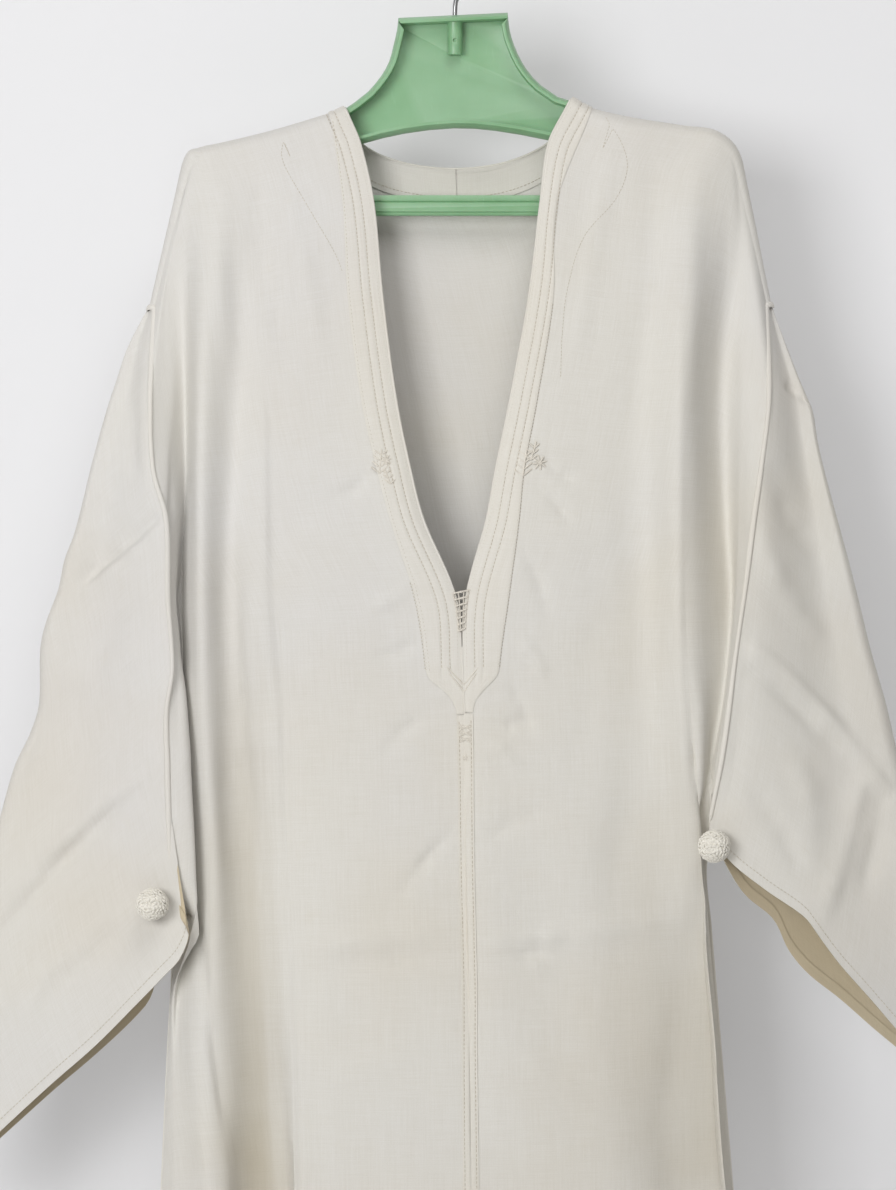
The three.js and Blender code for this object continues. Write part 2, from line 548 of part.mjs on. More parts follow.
// Draws an edge of a sheet back from its seam, along the sheet itself. Where the
// seam turns tightly, in its first rows and its last ones, it is drawn back more.
function drawBack(grid, edgeCells, innerCells, tight = []) {
  edgeCells.forEach(([k, c], i) => {
    const [k2, c2] = innerCells[i];
    const distance = tight.includes(k) ? TIGHT_GAP / 2 : SEAM_GAP / 2;
    const way = grid.points[k2][c2].clone().sub(grid.points[k][c]);
    way.addScaledVector(grid.normals[k][c], -way.dot(grid.normals[k][c]));
    grid.points[k][c].addScaledVector(way.normalize(), distance);
  });
}
const columnCells = (grid, c) => grid.points.map((_, k) => [k, c]);
const rowCells = (grid, k) => grid.points[k].map((_, c) => [k, c]);

// One closed wall of cloth round a sheet, half its thickness to each side.
function wall(grid, thickness = CLOTH, shift = 0) {
  const rows = grid.points.length;
  const columns = grid.points[0].length;
  const positions = [];
  const known = new Map();
  const vertex = (k, c, face) => {
    const p = grid.points[k][c].clone().addScaledVector(grid.normals[k][c], shift + face * thickness / 2);
    const key = [p.x, p.y, p.z].map((value) => Math.round(value * 2000)).join(",");
    if (!known.has(key)) {
      known.set(key, positions.length / 3);
      positions.push(p.x, p.y, p.z);
    }
    return known.get(key);
  };
  const index = [];
  const triangle = (a, b, c) => {
    if (a !== b && b !== c && c !== a) index.push(a, b, c);
  };
  const quad = (a, b, c, d) => {
    triangle(a, b, c);
    triangle(a, c, d);
  };
  for (let k = 0; k < rows - 1; k += 1) {
    for (let c = 0; c < columns - 1; c += 1) {
      quad(vertex(k, c, 1), vertex(k + 1, c, 1), vertex(k + 1, c + 1, 1), vertex(k, c + 1, 1));
      quad(vertex(k, c, -1), vertex(k, c + 1, -1), vertex(k + 1, c + 1, -1), vertex(k + 1, c, -1));
    }
    const last = columns - 1;
    quad(vertex(k, 0, 1), vertex(k, 0, -1), vertex(k + 1, 0, -1), vertex(k + 1, 0, 1));
    quad(vertex(k, last, 1), vertex(k + 1, last, 1), vertex(k + 1, last, -1), vertex(k, last, -1));
  }
  for (let c = 0; c < columns - 1; c += 1) {
    const last = rows - 1;
    quad(vertex(0, c, 1), vertex(0, c + 1, 1), vertex(0, c + 1, -1), vertex(0, c, -1));
    quad(vertex(last, c, 1), vertex(last, c, -1), vertex(last, c + 1, -1), vertex(last, c + 1, 1));
  }
  return facingOut(positions, index);
}

// A geometry whose faces point out of the closed body.
function facingOut(positions, index) {
  let volume = 0;
  const at = (i) => new THREE.Vector3().fromArray(positions, 3 * i);
  for (let i = 0; i < index.length; i += 3) {
    volume += at(index[i]).dot(at(index[i + 1]).cross(at(index[i + 2])));
  }
  const faces = volume > 0 ? index : index.map((value, i) => index[i - (i % 3) + [0, 2, 1][i % 3]]);
  const geometry = new THREE.BufferGeometry();
  geometry.setAttribute("position", new THREE.Float32BufferAttribute(positions, 3));
  geometry.setIndex(faces);
  geometry.computeVertexNormals();
  return geometry;
}

// ---- materials -----------------------------------------------------------

const cloth = () => new THREE.MeshStandardMaterial({ color: CREAM, roughness: 0.9, metalness: 0 });
const thread = () => new THREE.MeshStandardMaterial({ color: THREAD, roughness: 0.85, metalness: 0 });
const plastic = () => new THREE.MeshStandardMaterial({ color: MINT, roughness: 0.35, metalness: 0 });
const steel = () => new THREE.MeshStandardMaterial({ color: 0xb9bcbf, roughness: 0.3, metalness: 1 });

const jebba = new THREE.Group();
function add(name, geometry, material) {
  const mesh = new THREE.Mesh(geometry, material);
  mesh.name = name;
  jebba.add(mesh);
}

// ---- body panels and sleeves ---------------------------------------------

const steps = (from, to, count) => Array.from({ length: count + 1 }, (_, i) => mix(from, to, i / count));
const ROLL_ROWS = [0, 0.34, 0.67];
const V_BOTTOM_ROW = 1.644;
const TACK_ROW = 1.69;
const POINT_FROM_ROW = 1.742; // the neck band narrows to its point from here
const POINT_ROW = 1.8;
const UPPER_ROWS = [
  ...ROLL_ROWS, ...steps(1, 1.56, 7), V_BOTTOM_ROW, TACK_ROW, POINT_FROM_ROW, POINT_ROW, 1.87, 1.94, 2,
];
const NECK_FROM = 4.4; // where the back's top line leaves the shoulder for the neck
const LOWER_ROWS = steps(2, 3, 9).slice(1);
const ALL_ROWS = [...UPPER_ROWS, ...LOWER_ROWS];
const FRONT_COLUMNS = [
  0, 0.5, 1, 1.33, 1.67, 2, 2.33, 2.67, 3, 3.33, 3.67, 4, 4.25, 4.5, 4.75, 5, 5.33, 5.67, 6, 6.5, 7,
];
const BACK_COLUMNS = steps(0, BACK_LAST, BACK_LAST * 2);
const SLEEVE_HALF = [0, 0.06, 0.14, 0.22, 0.3, 0.37, 0.43, 0.46, 0.482, 0.495];
const SLEEVE_COLUMNS = [...SLEEVE_HALF, 0.5, ...SLEEVE_HALF.slice().reverse().map((u) => 1 - u)];

const FRONTWARD = new THREE.Vector3(0, -1, 0);
const BACKWARD = new THREE.Vector3(0, 1, 0);
const backSheet = sheet(back, BACK_COLUMNS, ALL_ROWS, BACKWARD);
backSheet.normals[0].forEach((n, c) => {
  const u = BACK_COLUMNS[c];
  const low = Math.floor(Math.min(u, BACK_LAST - 1));
  const way = backLines[low].inward.clone().lerp(backLines[low + 1].inward, u - low);
  const neck = u > NECK_FROM && u < BACK_LAST - NECK_FROM;
  n.copy(neck ? backSheet.normals[2][c] : way.negate().normalize());
});

const UPPER_COUNT = UPPER_ROWS.length;
const frontSheets = {};
const armSheets = {};
for (const [name, side] of Object.entries(SIDES)) {
  const grid = sheet((u, v) => front(side, u, v), FRONT_COLUMNS, ALL_ROWS, FRONTWARD);
  const arm = sheet((u, v) => sleeve(side, u, v), SLEEVE_COLUMNS, UPPER_ROWS, FRONTWARD);
  const lastColumn = FRONT_COLUMNS.length - 1;
  const backColumn = side.sign < 0 ? 0 : BACK_COLUMNS.length - 1;
  const apexNormal = side.lines[SEAM].inward.clone().negate();

  // Along the shoulder both panels share the normal that points up and out.
  grid.normals[0].forEach((n, c) => {
    const u = FRONT_COLUMNS[c];
    const low = Math.floor(Math.min(u, SEAM - 1));
    n.lerpVectors(side.lines[low].inward, side.lines[low + 1].inward, u - low).negate().normalize();
  });
  arm.normals[0].forEach((n) => n.copy(apexNormal));

  const frontEdge = grid.normals.map((row) => row[lastColumn]);
  const backEdge = backSheet.normals.map((row) => row[backColumn]);
  shareNormals(frontEdge.slice(0, UPPER_COUNT), arm.normals.map((row) => row[0]));
  shareNormals(backEdge.slice(0, UPPER_COUNT), arm.normals.map((row) => row[row.length - 1]));
  shareNormals(frontEdge.slice(UPPER_COUNT), backEdge.slice(UPPER_COUNT));
  const around = [frontEdge[UPPER_COUNT - 1], backEdge[UPPER_COUNT - 1]];
  shareNormals([around[0]], [around[1]], [arm.normals[UPPER_COUNT - 1][0]],
    [arm.normals[UPPER_COUNT - 1][SLEEVE_COLUMNS.length - 1]]);
  [grid.normals[0][lastColumn], backSheet.normals[0][backColumn]].forEach((n) => n.copy(apexNormal));
  arm.normals[0].forEach((n) => n.copy(apexNormal));

  const turns = [0, 1, 2, 3, UPPER_COUNT - 2, UPPER_COUNT - 1];
  const drawColumnBack = (target, edge, inner) =>
    drawBack(target, columnCells(target, edge), columnCells(target, inner), turns);
  const armLast = SLEEVE_COLUMNS.length - 1;
  drawColumnBack(grid, lastColumn, lastColumn - 1);
  drawBack(grid, columnCells(grid, 0), columnCells(grid, 1));
  drawBack(grid, rowCells(grid, 0), rowCells(grid, 1));
  drawColumnBack(arm, 0, 1);
  drawColumnBack(arm, armLast, armLast - 1);
  drawColumnBack(backSheet, backColumn, backColumn === 0 ? 1 : backColumn - 1);
  arm.points[0].forEach((p) => p.copy(arm.points[0][0]).addScaledVector(apexNormal, TIGHT_GAP));

  frontSheets[name] = grid;
  armSheets[name] = arm;
  add(`front_panel_${name}`, wall(grid), cloth());
  add(`sleeve_${name}`, wall(arm), cloth());
}
drawBack(backSheet, rowCells(backSheet, 0), rowCells(backSheet, 1));
add("back_panel", wall(backSheet), cloth());

// ---- strips laid on the cloth --------------------------------------------

const rowAt = (v) => ALL_ROWS.indexOf(v);
const pointFromRow = rowAt(POINT_FROM_ROW);
const pointRow = rowAt(POINT_ROW);

// A strip made from given points and normals of the cloth under it.
function laidStrip(rows, layers = 1) {
  return {
    points: rows.map((row) => row.map(([p, n]) => p.clone().addScaledVector(n, LAY * layers))),
    normals: rows.map((row) => row.map(([p, n]) => n.clone())),
  };
}
const cell = (grid, k, c) => [grid.points[k][c], grid.normals[k][c]];

// A cell `distance` along row k from the neck edge or centre front.
function cellInFrom(grid, k, distance) {
  const [a, b] = [grid.points[k][0], grid.points[k][1]];
  const t = distance / a.distanceTo(b);
  return [a.clone().lerp(b, t), grid.normals[k][0].clone().lerp(grid.normals[k][1], t).normalize()];
}

for (const [name, grid] of Object.entries(frontSheets)) {
  const rows = steps(0, pointFromRow, pointFromRow).map((k) => [0, 1, 2].map((c) => cell(grid, k, c)));
  const tip = [0, 0.5, 1].map((share) => cellInFrom(grid, pointRow, share * BAND_WIDTH / 2));
  const band = laidStrip([...rows, tip]);
  add(`neck_band_${name}`, wall(band), cloth());
}

// The centre front band, across the seam between the two fronts.
const centreRows = ALL_ROWS.slice(pointRow).map((v, i) => {
  const k = pointRow + i;
  const [left, right] = [frontSheets.left, frontSheets.right];
  const middle = left.points[k][0].clone().lerp(right.points[k][0], 0.5);
  return [cellInFrom(left, k, BAND_WIDTH / 2), [middle, FRONTWARD], cellInFrom(right, k, BAND_WIDTH / 2)];
});
const centreBand = laidStrip(centreRows);
centreBand.points[0].forEach((p) => { p.z -= 4 * SEAM_GAP; });
add("centre_band", wall(centreBand), cloth());

// The sewn bar that closes the foot of the neck slit.
const TACK_OVERLAP = 1.5;
const tackRows = [rowAt(V_BOTTOM_ROW), rowAt(TACK_ROW)].map((k) => {
  const left = cellInFrom(frontSheets.left, k, TACK_OVERLAP);
  const right = cellInFrom(frontSheets.right, k, TACK_OVERLAP);
  return [left, [left[0].clone().lerp(right[0], 0.5), FRONTWARD], right];
});
add("neck_tack", wall(laidStrip(tackRows, 2)), thread());

// The facing inside the back neck, in two halves that meet at its centre seam.
const FACING_SHARE = 0.5; // of the row spacing below the neck edge
const facingCell = (row, c) => {
  const [k, share] = row;
  const [a, na] = cell(backSheet, k, c);
  const [b, nb] = cell(backSheet, k + 1, c);
  return [a.clone().lerp(b, share), na.clone().lerp(nb, share).normalize().negate()];
};
const facingRows = [[0, 0], [1, 0], [2, 0], [3, 0], [3, FACING_SHARE]];
const centreColumn = BACK_COLUMNS.indexOf(BACK_LAST / 2);
const facingReach = 5;
for (const [name, from] of [["left", centreColumn - facingReach], ["right", centreColumn]]) {
  const columns = steps(from, from + facingReach, facingReach);
  const facing = laidStrip(facingRows.map((row) => columns.map((c) => facingCell(row, c))));
  const seam = name === "left" ? facingReach : 0;
  drawBack(facing, columnCells(facing, seam), columnCells(facing, Math.abs(seam - 1)));
  add(`back_neck_facing_${name}`, wall(facing), cloth());
}

// ---- pompoms at the foot of each armhole seam ----------------------------

// Points on a sheet's facets, from each cell that comes within `reach` of x, z.
function facetPoints(grid, x, z, reach) {
  const found = [];
  const shares = steps(0, 1, 8);
  for (let k = 0; k < grid.points.length - 1; k += 1) {
    for (let c = 0; c < grid.points[k].length - 1; c += 1) {
      const corners = [
        grid.points[k][c], grid.points[k][c + 1], grid.points[k + 1][c], grid.points[k + 1][c + 1],
      ];
      const xs = corners.map((p) => p.x);
      const zs = corners.map((p) => p.z);
      const near = Math.min(...xs) < x + reach && Math.max(...xs) > x - reach
        && Math.min(...zs) < z + reach && Math.max(...zs) > z - reach;
      if (!near) continue;
      for (const s of shares) {
        for (const t of shares) {
          const above = corners[0].clone().lerp(corners[1], s);
          found.push(above.lerp(corners[2].clone().lerp(corners[3], s), t));
        }
      }
    }
  }
  return found;
}

const POMPOMS = { left: { x: -227, z: -735 }, right: { x: 194, z: -692 } };
const LOBES = 9;
const LOBE_HEIGHT = 0.05;
for (const [name, { x, z }] of Object.entries(POMPOMS)) {
  const reach = POMPOM_RADIUS * (1 + LOBE_HEIGHT);
  const clearance = CLOTH / 2 + SEAM_GAP;
  let y = 0;
  for (const grid of [armSheets[name], frontSheets[name]]) {
    for (const p of facetPoints(grid, x, z, reach)) {
      const aside = Math.hypot(p.x - x, p.z - z);
      if (aside < reach) y = Math.min(y, p.y - Math.sqrt(reach ** 2 - aside ** 2) - clearance);
    }
  }
  const ball = new THREE.SphereGeometry(POMPOM_RADIUS, 18, 12);
  const position = ball.attributes.position;
  for (let i = 0; i < position.count; i += 1) {
    const p = new THREE.Vector3().fromBufferAttribute(position, i);
    const around = Math.atan2(p.z, p.x);
    const level = Math.sqrt(Math.max(0, 1 - (p.y / POMPOM_RADIUS) ** 2));
    p.multiplyScalar(1 + LOBE_HEIGHT * level * Math.cos(LOBES * around));
    position.setXYZ(i, p.x, p.y, p.z);
  }
  ball.translate(x, y, z);
  add(`pompom_${name}`, ball, thread());
}

// ---- hanger and hook -----------------------------------------------------

// A closed solid for manifold-3d, its equal points joined.
function solidOf(geometry) {
  const source = geometry.attributes.position;
  const positions = [];
  const known = new Map();
  const merged = [];
  for (let i = 0; i < source.count; i += 1) {
    const p = [source.getX(i), source.getY(i), source.getZ(i)];
    const key = p.map((value) => Math.round(value * 1000)).join(",");
    if (!known.has(key)) {
      known.set(key, positions.length / 3);
      positions.push(...p);
    }
    merged.push(known.get(key));
  }
  const order = geometry.index ? Array.from(geometry.index.array) : merged.map((_, i) => i);
  return new wasm.Manifold(new wasm.Mesh({
    numProp: 3,
    vertProperties: new Float32Array(positions),
    triVerts: new Uint32Array(order.map((i) => merged[i])),
  }));
}

function geometryOf(solid) {
  const mesh = solid.getMesh();
  return facingOut(Array.from(mesh.vertProperties), Array.from(mesh.triVerts));
}

// A flat outline in the XZ plane, given depth from y = near to y = far.
function slab(points, near, far) {
  const shape = new THREE.Shape(points.map((p) => new THREE.Vector2(p.x, p.z)));
  const geometry = new THREE.ExtrudeGeometry(shape, { depth: far - near, bevelEnabled: false });
  return geometry.rotateX(Math.PI / 2).translate(0, far, 0);
}

// An upright or level round bar between two heights or depths.
function roundBar(radius, from, to) {
  const length = from.distanceTo(to);
  const way = to.clone().sub(from).normalize();
  const turn = new THREE.Quaternion().setFromUnitVectors(new THREE.Vector3(0, 1, 0), way);
  const middle = from.clone().lerp(to, 0.5);
  return new THREE.CylinderGeometry(radius, radius, length, 20)
    .applyQuaternion(turn).translate(middle.x, middle.y, middle.z);
}

// The hanger's shoulders follow the robe's shoulder line, just under the cloth.
const HANGER_REST = CLOTH / 2 + SEAM_GAP + 0.55;
function hangerShoulder(side) {
  return steps(0.3, 3.6, 9).map((u) => {
    const low = Math.floor(u);
    const way = side.lines[low].inward.clone().lerp(side.lines[low + 1].inward, u - low).normalize();
    const p = front(side, u, 0).addScaledVector(way, HANGER_REST);
    return { x: p.x, z: p.z };
  });
}
const HANGER_RIGHT_END = [{ x: 200, z: -160 }, { x: 202, z: -168 }, { x: 198, z: -178 }];
const HANGER_LEFT_END = [{ x: -198, z: -171 }, { x: -199, z: -179 }, { x: -192, z: -190 }];

// A table's curve with two points to each of its steps but the end ones.
function smoothed(points) {
  const full = points.map((p) => ({ x: p.x, y: 0, z: p.z }));
  const last = full.length - 1;
  return [0, ...steps(1, last - 1, 2 * (last - 2)), last].map((u) => {
    const p = across(full, u);
    return { x: p.x, z: p.z };
  });
}

const hangerArch = smoothed([...HANGER_RIGHT_ARCH.slice().reverse(), ...HANGER_LEFT_ARCH]);
const hangerOutline = [
  ...smoothed(HANGER_RIGHT_NECK), ...hangerShoulder(SIDES.right), ...HANGER_RIGHT_END,
  ...hangerArch, ...HANGER_LEFT_END.slice().reverse(),
  ...hangerShoulder(SIDES.left).reverse(), ...smoothed(HANGER_LEFT_NECK).reverse(),
];

// Moves each point of a closed outline inward by `distance`.
function inset(outline, distance) {
  const area = outline.reduce((sum, p, i) => {
    const q = outline[(i + 1) % outline.length];
    return sum + p.x * q.z - q.x * p.z;
  }, 0);
  return outline.map((p, i) => {
    const a = outline[(i + outline.length - 1) % outline.length];
    const b = outline[(i + 1) % outline.length];
    const length = Math.hypot(b.x - a.x, b.z - a.z) * Math.sign(area);
    return { x: p.x - (b.z - a.z) / length * distance, z: p.z + (b.x - a.x) / length * distance };
  });
}

// The rim round the shell: a crowned strip swept round the outline.
function hangerRim() {
  const crown = steps(-1, 1, 6).map((t) => ({ y: t * HANGER_HALF_DEPTH, inward: HANGER_CROWN * t * t }));
  const inner = HANGER_CROWN + HANGER_WALL;
  const profile = [
    ...crown, { y: HANGER_HALF_DEPTH, inward: inner }, { y: -HANGER_HALF_DEPTH, inward: inner },
  ];
  const rings = profile.map(({ y, inward }) => inset(hangerOutline, inward).map((p) => [p.x, y, p.z]));
  const count = hangerOutline.length;
  const index = [];
  rings.forEach((ring, j) => {
    const next = (j + 1) % rings.length;
    ring.forEach((_, i) => {
      const i2 = (i + 1) % count;
      index.push(j * count + i, j * count + i2, next * count + i2);
      index.push(j * count + i, next * count + i2, next * count + i);
    });
  });
  return facingOut(rings.flat(2), index);
}

// The trouser bar, with two grooves along its front and its back.
function trouserBar() {
  const { top, bottom, halfDepth: d } = BAR;
  const levels = [top, top - 4.2, top - 5, top - 5.8, top - 12.2, top - 12.9, top - 13.6, bottom];
  const depths = [d - 1, d, d - 1.4, d, d, d - 1.4, d, d - 1];
  const frontSide = levels.map((z, i) => new THREE.Vector2(-depths[i], z));
  const backSide = levels.map((z, i) => new THREE.Vector2(depths[i], z)).reverse();
  const shape = new THREE.Shape([...frontSide, ...backSide]);
  const geometry = new THREE.ExtrudeGeometry(shape, { depth: BAR.right - BAR.left, bevelEnabled: false });
  const lie = new THREE.Matrix4().makeBasis(
    new THREE.Vector3(0, 1, 0), new THREE.Vector3(0, 0, 1), new THREE.Vector3(1, 0, 0));
  return geometry.applyMatrix4(lie).translate(BAR.left, 0, 0);
}

function barLug(outerX, innerX, armZ) {
  const away = Math.sign(outerX) * 3;
  return slab([
    { x: innerX, z: armZ }, { x: outerX, z: armZ }, { x: outerX, z: BAR.bottom + 5 },
    { x: outerX - away, z: BAR.bottom }, { x: innerX, z: BAR.bottom },
  ], -BAR.halfDepth, BAR.halfDepth);
}

const BOSS = { radius: 5.7, y: 1.2, top: -66, bottom: -93, boreBottom: -88, pinZ: -82.5 };
const at = (x, y, z) => new THREE.Vector3(x, y, z);
const plateOutline = inset(hangerOutline, HANGER_CROWN + 0.4);
const plate = slab(plateOutline, HANGER_HALF_DEPTH - HANGER_WALL, HANGER_HALF_DEPTH);
const shell = [
  plate, trouserBar(),
  barLug(BAR.left, BAR.left + BAR.lug, -186),
  barLug(BAR.right, BAR.right - BAR.lug, -178),
  roundBar(BOSS.radius, at(0, BOSS.y, BOSS.bottom), at(0, BOSS.y, BOSS.top)),
].map(solidOf).reduce((whole, piece) => whole.add(piece), solidOf(hangerRim()));
const bore = solidOf(roundBar(WIRE_RADIUS + SEAM_GAP, at(0, 0, BOSS.boreBottom), at(0, 0, -40)));
const pinHole = solidOf(roundBar(1.6, at(0, -12, BOSS.pinZ), at(0, -3, BOSS.pinZ)));
add("hanger_body", geometryOf(shell.subtract(bore).subtract(pinHole)), plastic());

const hookTurns = steps(-38, 205, 16).map((degrees) => {
  const angle = degrees * Math.PI / 180;
  const radius = HOOK_RADIUS + WIRE_RADIUS;
  return at(radius * Math.cos(angle), 0, -HOOK_RADIUS + radius * Math.sin(angle));
});
const hookStem = [
  at(0, 0, BOSS.boreBottom + SEAM_GAP), at(0, 0, -72), at(0, 0, -60), at(0.8, 0, -52),
  at(4.5, 0, -45.5), at(11, 0, -39.5),
];
const wire = new THREE.Shape(steps(0, 9, 9).map((i) => {
  const angle = i * Math.PI / 5;
  return new THREE.Vector2(WIRE_RADIUS * Math.cos(angle), WIRE_RADIUS * Math.sin(angle));
}));
add("hook", new THREE.ExtrudeGeometry(wire, {
  steps: 44, bevelEnabled: false, extrudePath: new THREE.CatmullRomCurve3([...hookStem, ...hookTurns]),
}), steel());

export default jebba;
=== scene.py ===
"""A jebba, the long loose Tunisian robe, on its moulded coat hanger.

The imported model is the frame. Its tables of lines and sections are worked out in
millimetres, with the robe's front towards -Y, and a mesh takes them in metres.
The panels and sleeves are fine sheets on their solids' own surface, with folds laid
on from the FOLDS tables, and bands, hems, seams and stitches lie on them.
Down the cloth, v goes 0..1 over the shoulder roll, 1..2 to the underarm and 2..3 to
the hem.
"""
import math
import random
import bmesh
import bpy
import numpy as np
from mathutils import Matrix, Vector


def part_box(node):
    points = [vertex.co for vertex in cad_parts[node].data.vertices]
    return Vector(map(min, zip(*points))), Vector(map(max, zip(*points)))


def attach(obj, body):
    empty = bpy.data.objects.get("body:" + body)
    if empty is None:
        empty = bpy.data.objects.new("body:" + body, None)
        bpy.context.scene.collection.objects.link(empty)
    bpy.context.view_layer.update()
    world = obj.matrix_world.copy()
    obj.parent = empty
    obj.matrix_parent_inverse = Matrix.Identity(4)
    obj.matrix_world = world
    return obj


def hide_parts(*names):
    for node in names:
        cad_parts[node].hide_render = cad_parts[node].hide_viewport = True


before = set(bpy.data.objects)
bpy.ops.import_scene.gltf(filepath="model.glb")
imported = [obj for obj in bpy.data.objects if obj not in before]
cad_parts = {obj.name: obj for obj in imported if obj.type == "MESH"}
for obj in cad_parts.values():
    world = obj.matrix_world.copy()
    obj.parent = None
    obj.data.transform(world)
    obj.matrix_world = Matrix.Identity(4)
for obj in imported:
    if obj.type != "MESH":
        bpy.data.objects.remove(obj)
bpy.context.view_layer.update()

random.seed(11)
MM = 0.001
HEM_Z = -1475.0
CLOTH = 1.0
BAND_WIDTH = 12.0
CENTRE_MIDDLE_Z = -706.0

# ---- the robe's lines and sections ------------------------------------------

# A front hangs from eight lines: its edge, the band's, the crease, trough, ridge,
# valley and strip, and the armhole seam. Each row holds the x, z, roll and depth of
# one line's start on the shoulder line or the side outline.
LEFT_TOP = [
    (-84, -133, 8, 12), (-96, -138, 9, 13), (-139, -151, 10, 14), (-176, -160, 10, 14),
    (-194, -164, 10, 14), (-205, -171, 8, 11), (-214, -207, 6, 7), (-232, -285, 4, 5),
]
RIGHT_TOP = [
    (89, -126, 8, 12), (104, -134, 9, 13), (134, -141, 10, 14), (172, -147, 10, 14),
    (198, -151, 10, 14), (215, -166, 8, 11), (223, -198, 6, 7), (240, -283, 4, 5),
]

# Level sections: z, then x of each line and its depth to the front, or None
# where the line has not begun.
N = None
LEFT_SECTIONS = [
    (-162, [-72, N, N, N, N, N, N, N], [15, N, N, N, N, N, N, N]),
    (-207, [-62, -85, -118, -154, -184, -203, N, N], [19, 20, 19, 18, 19, 12, N, N]),
    (-279, [-55, -81, -135, -162, -188, -205, -219, N], [22, 24, 24, 21, 27, 8, 10, N]),
    (-355, [-45, -71, -144, -167, -191, -204, -215, -230], [25, 28, 28, 22, 33, 5, 15, 24]),
    (-409, [-34, -59, -144, -169, -192, -204, -214, -227], [27, 31, 30, 22, 35, 4, 20, 32]),
    (-447, [-24, -49, -144, -171, -192, -205, -211, -217], [29, 33, 31, 22, 36, 4, 24, 36]),
    (-507, [1, -30, -142, -171, -192, -207, -209, -216], [31, 34, 32, 22, 36, 4, 28, 39]),
    (-559, [5, -22, -138, -169, -191, -206, -207, -213], [33, 34, 32, 22, 35, 6, 30, 40]),
    (-590, [7, -21, -135, -167, -190, -207, -204, -217], [33, 34, 32, 22, 33, 6, 33, 41]),
    (-630, [8, -19, -133, -166, -188, -208, -200, -216], [33, 34, 32, 22, 31, 6, 36, 42]),
    (-715, [9, -17, -129, -162, -183, -206, -195, -214], [33, 34, 32, 22, 29, 6, 36, 38]),
    (-754, [10, -17, -128, -160, -184, -206, -195, -211], [33, 34, 32, 22, 28, 4, 32, 18]),
    (-800, [11, -17, -126, -159, -186, -208, -212, -215], [33, 34, 32, 22, 28, 8, 14, 4]),
    (-849, [11, -17, -125, -157, -185, -208, -214, -218], [33, 34, 32, 22, 28, 12, 9, 2]),
    (-956, [12, -17, -122, -154, -177, -208, -216, -223], [34, 34, 33, 22, 29, 14, 8, 0]),
    (-1191, [14, -17, -119, -153, -179, -213, -225, -234], [36, 36, 35, 24, 30, 16, 8, 0]),
    (-1475, [17, -14, -116, -156, -186, -222, -237, -248], [38, 38, 38, 26, 32, 20, 10, 0]),
]
RIGHT_SECTIONS = [
    (-162, [71, N, N, N, N, N, N, N], [15, N, N, N, N, N, N, N]),
    (-207, [65, 77, 112, 148, 180, 208, N, N], [19, 21, 19, 18, 20, 11, N, N]),
    (-279, [56, 74, 110, 145, 176, 205, 221, N], [22, 24, 23, 21, 30, 6, 9, N]),
    (-355, [42, 62, 109, 144, 173, 201, 218, 237], [25, 28, 26, 23, 37, 4, 18, 26]),
    (-409, [31, 52, 107, 143, 172, 202, 216, 230], [27, 31, 27, 23, 40, 4, 22, 34]),
    (-447, [24, 48, 106, 143, 171, 204, 215, 224], [29, 33, 28, 23, 41, 5, 24, 37]),
    (-507, [8, 40, 104, 143, 172, 207, 212, 217], [31, 34, 29, 23, 42, 10, 27, 38]),
    (-559, [6.5, 33, 103, 144, 174, 203, 207, 210], [33, 34, 29, 23, 42, 18, 28, 38]),
    (-590, [7.6, 33, 103, 145, 176, 199, 203, 206], [33, 34, 29, 24, 41, 22, 30, 38]),
    (-630, [8.2, 33, 103, 147, 180, 192, 196, 200], [33, 34, 29, 25, 40, 26, 32, 37]),
    (-675, [8.5, 33, 103, 150, 184, 187, 190, 192], [33, 34, 29, 25, 36, 27, 28, 31]),
    (-715, [9, 33, 103, 151, 188, 190, 191, 190], [33, 34, 29, 25, 30, 21, 15, 8]),
    (-754, [10, 33, 104, 153, 193, 195, 196, 194], [33, 34, 29, 25, 26, 16, 9, 2]),
    (-800, [11, 33, 106, 154, 198, 200, 200, 198], [33, 34, 29, 25, 23, 13, 6, 0]),
    (-849, [11, 34, 107, 157, 203, 205, 205, 202], [33, 34, 30, 25, 21, 12, 6, 0]),
    (-956, [12, 36, 110, 162, 211, 214, 214, 211], [34, 34, 30, 26, 20, 12, 6, 0]),
    (-1191, [14, 39, 118, 174, 230, 234, 234, 230], [36, 36, 32, 28, 20, 12, 6, 0]),
    (-1475, [17, 43, 128, 191, 253, 258, 258, 254], [38, 38, 34, 30, 20, 12, 6, 0]),
]

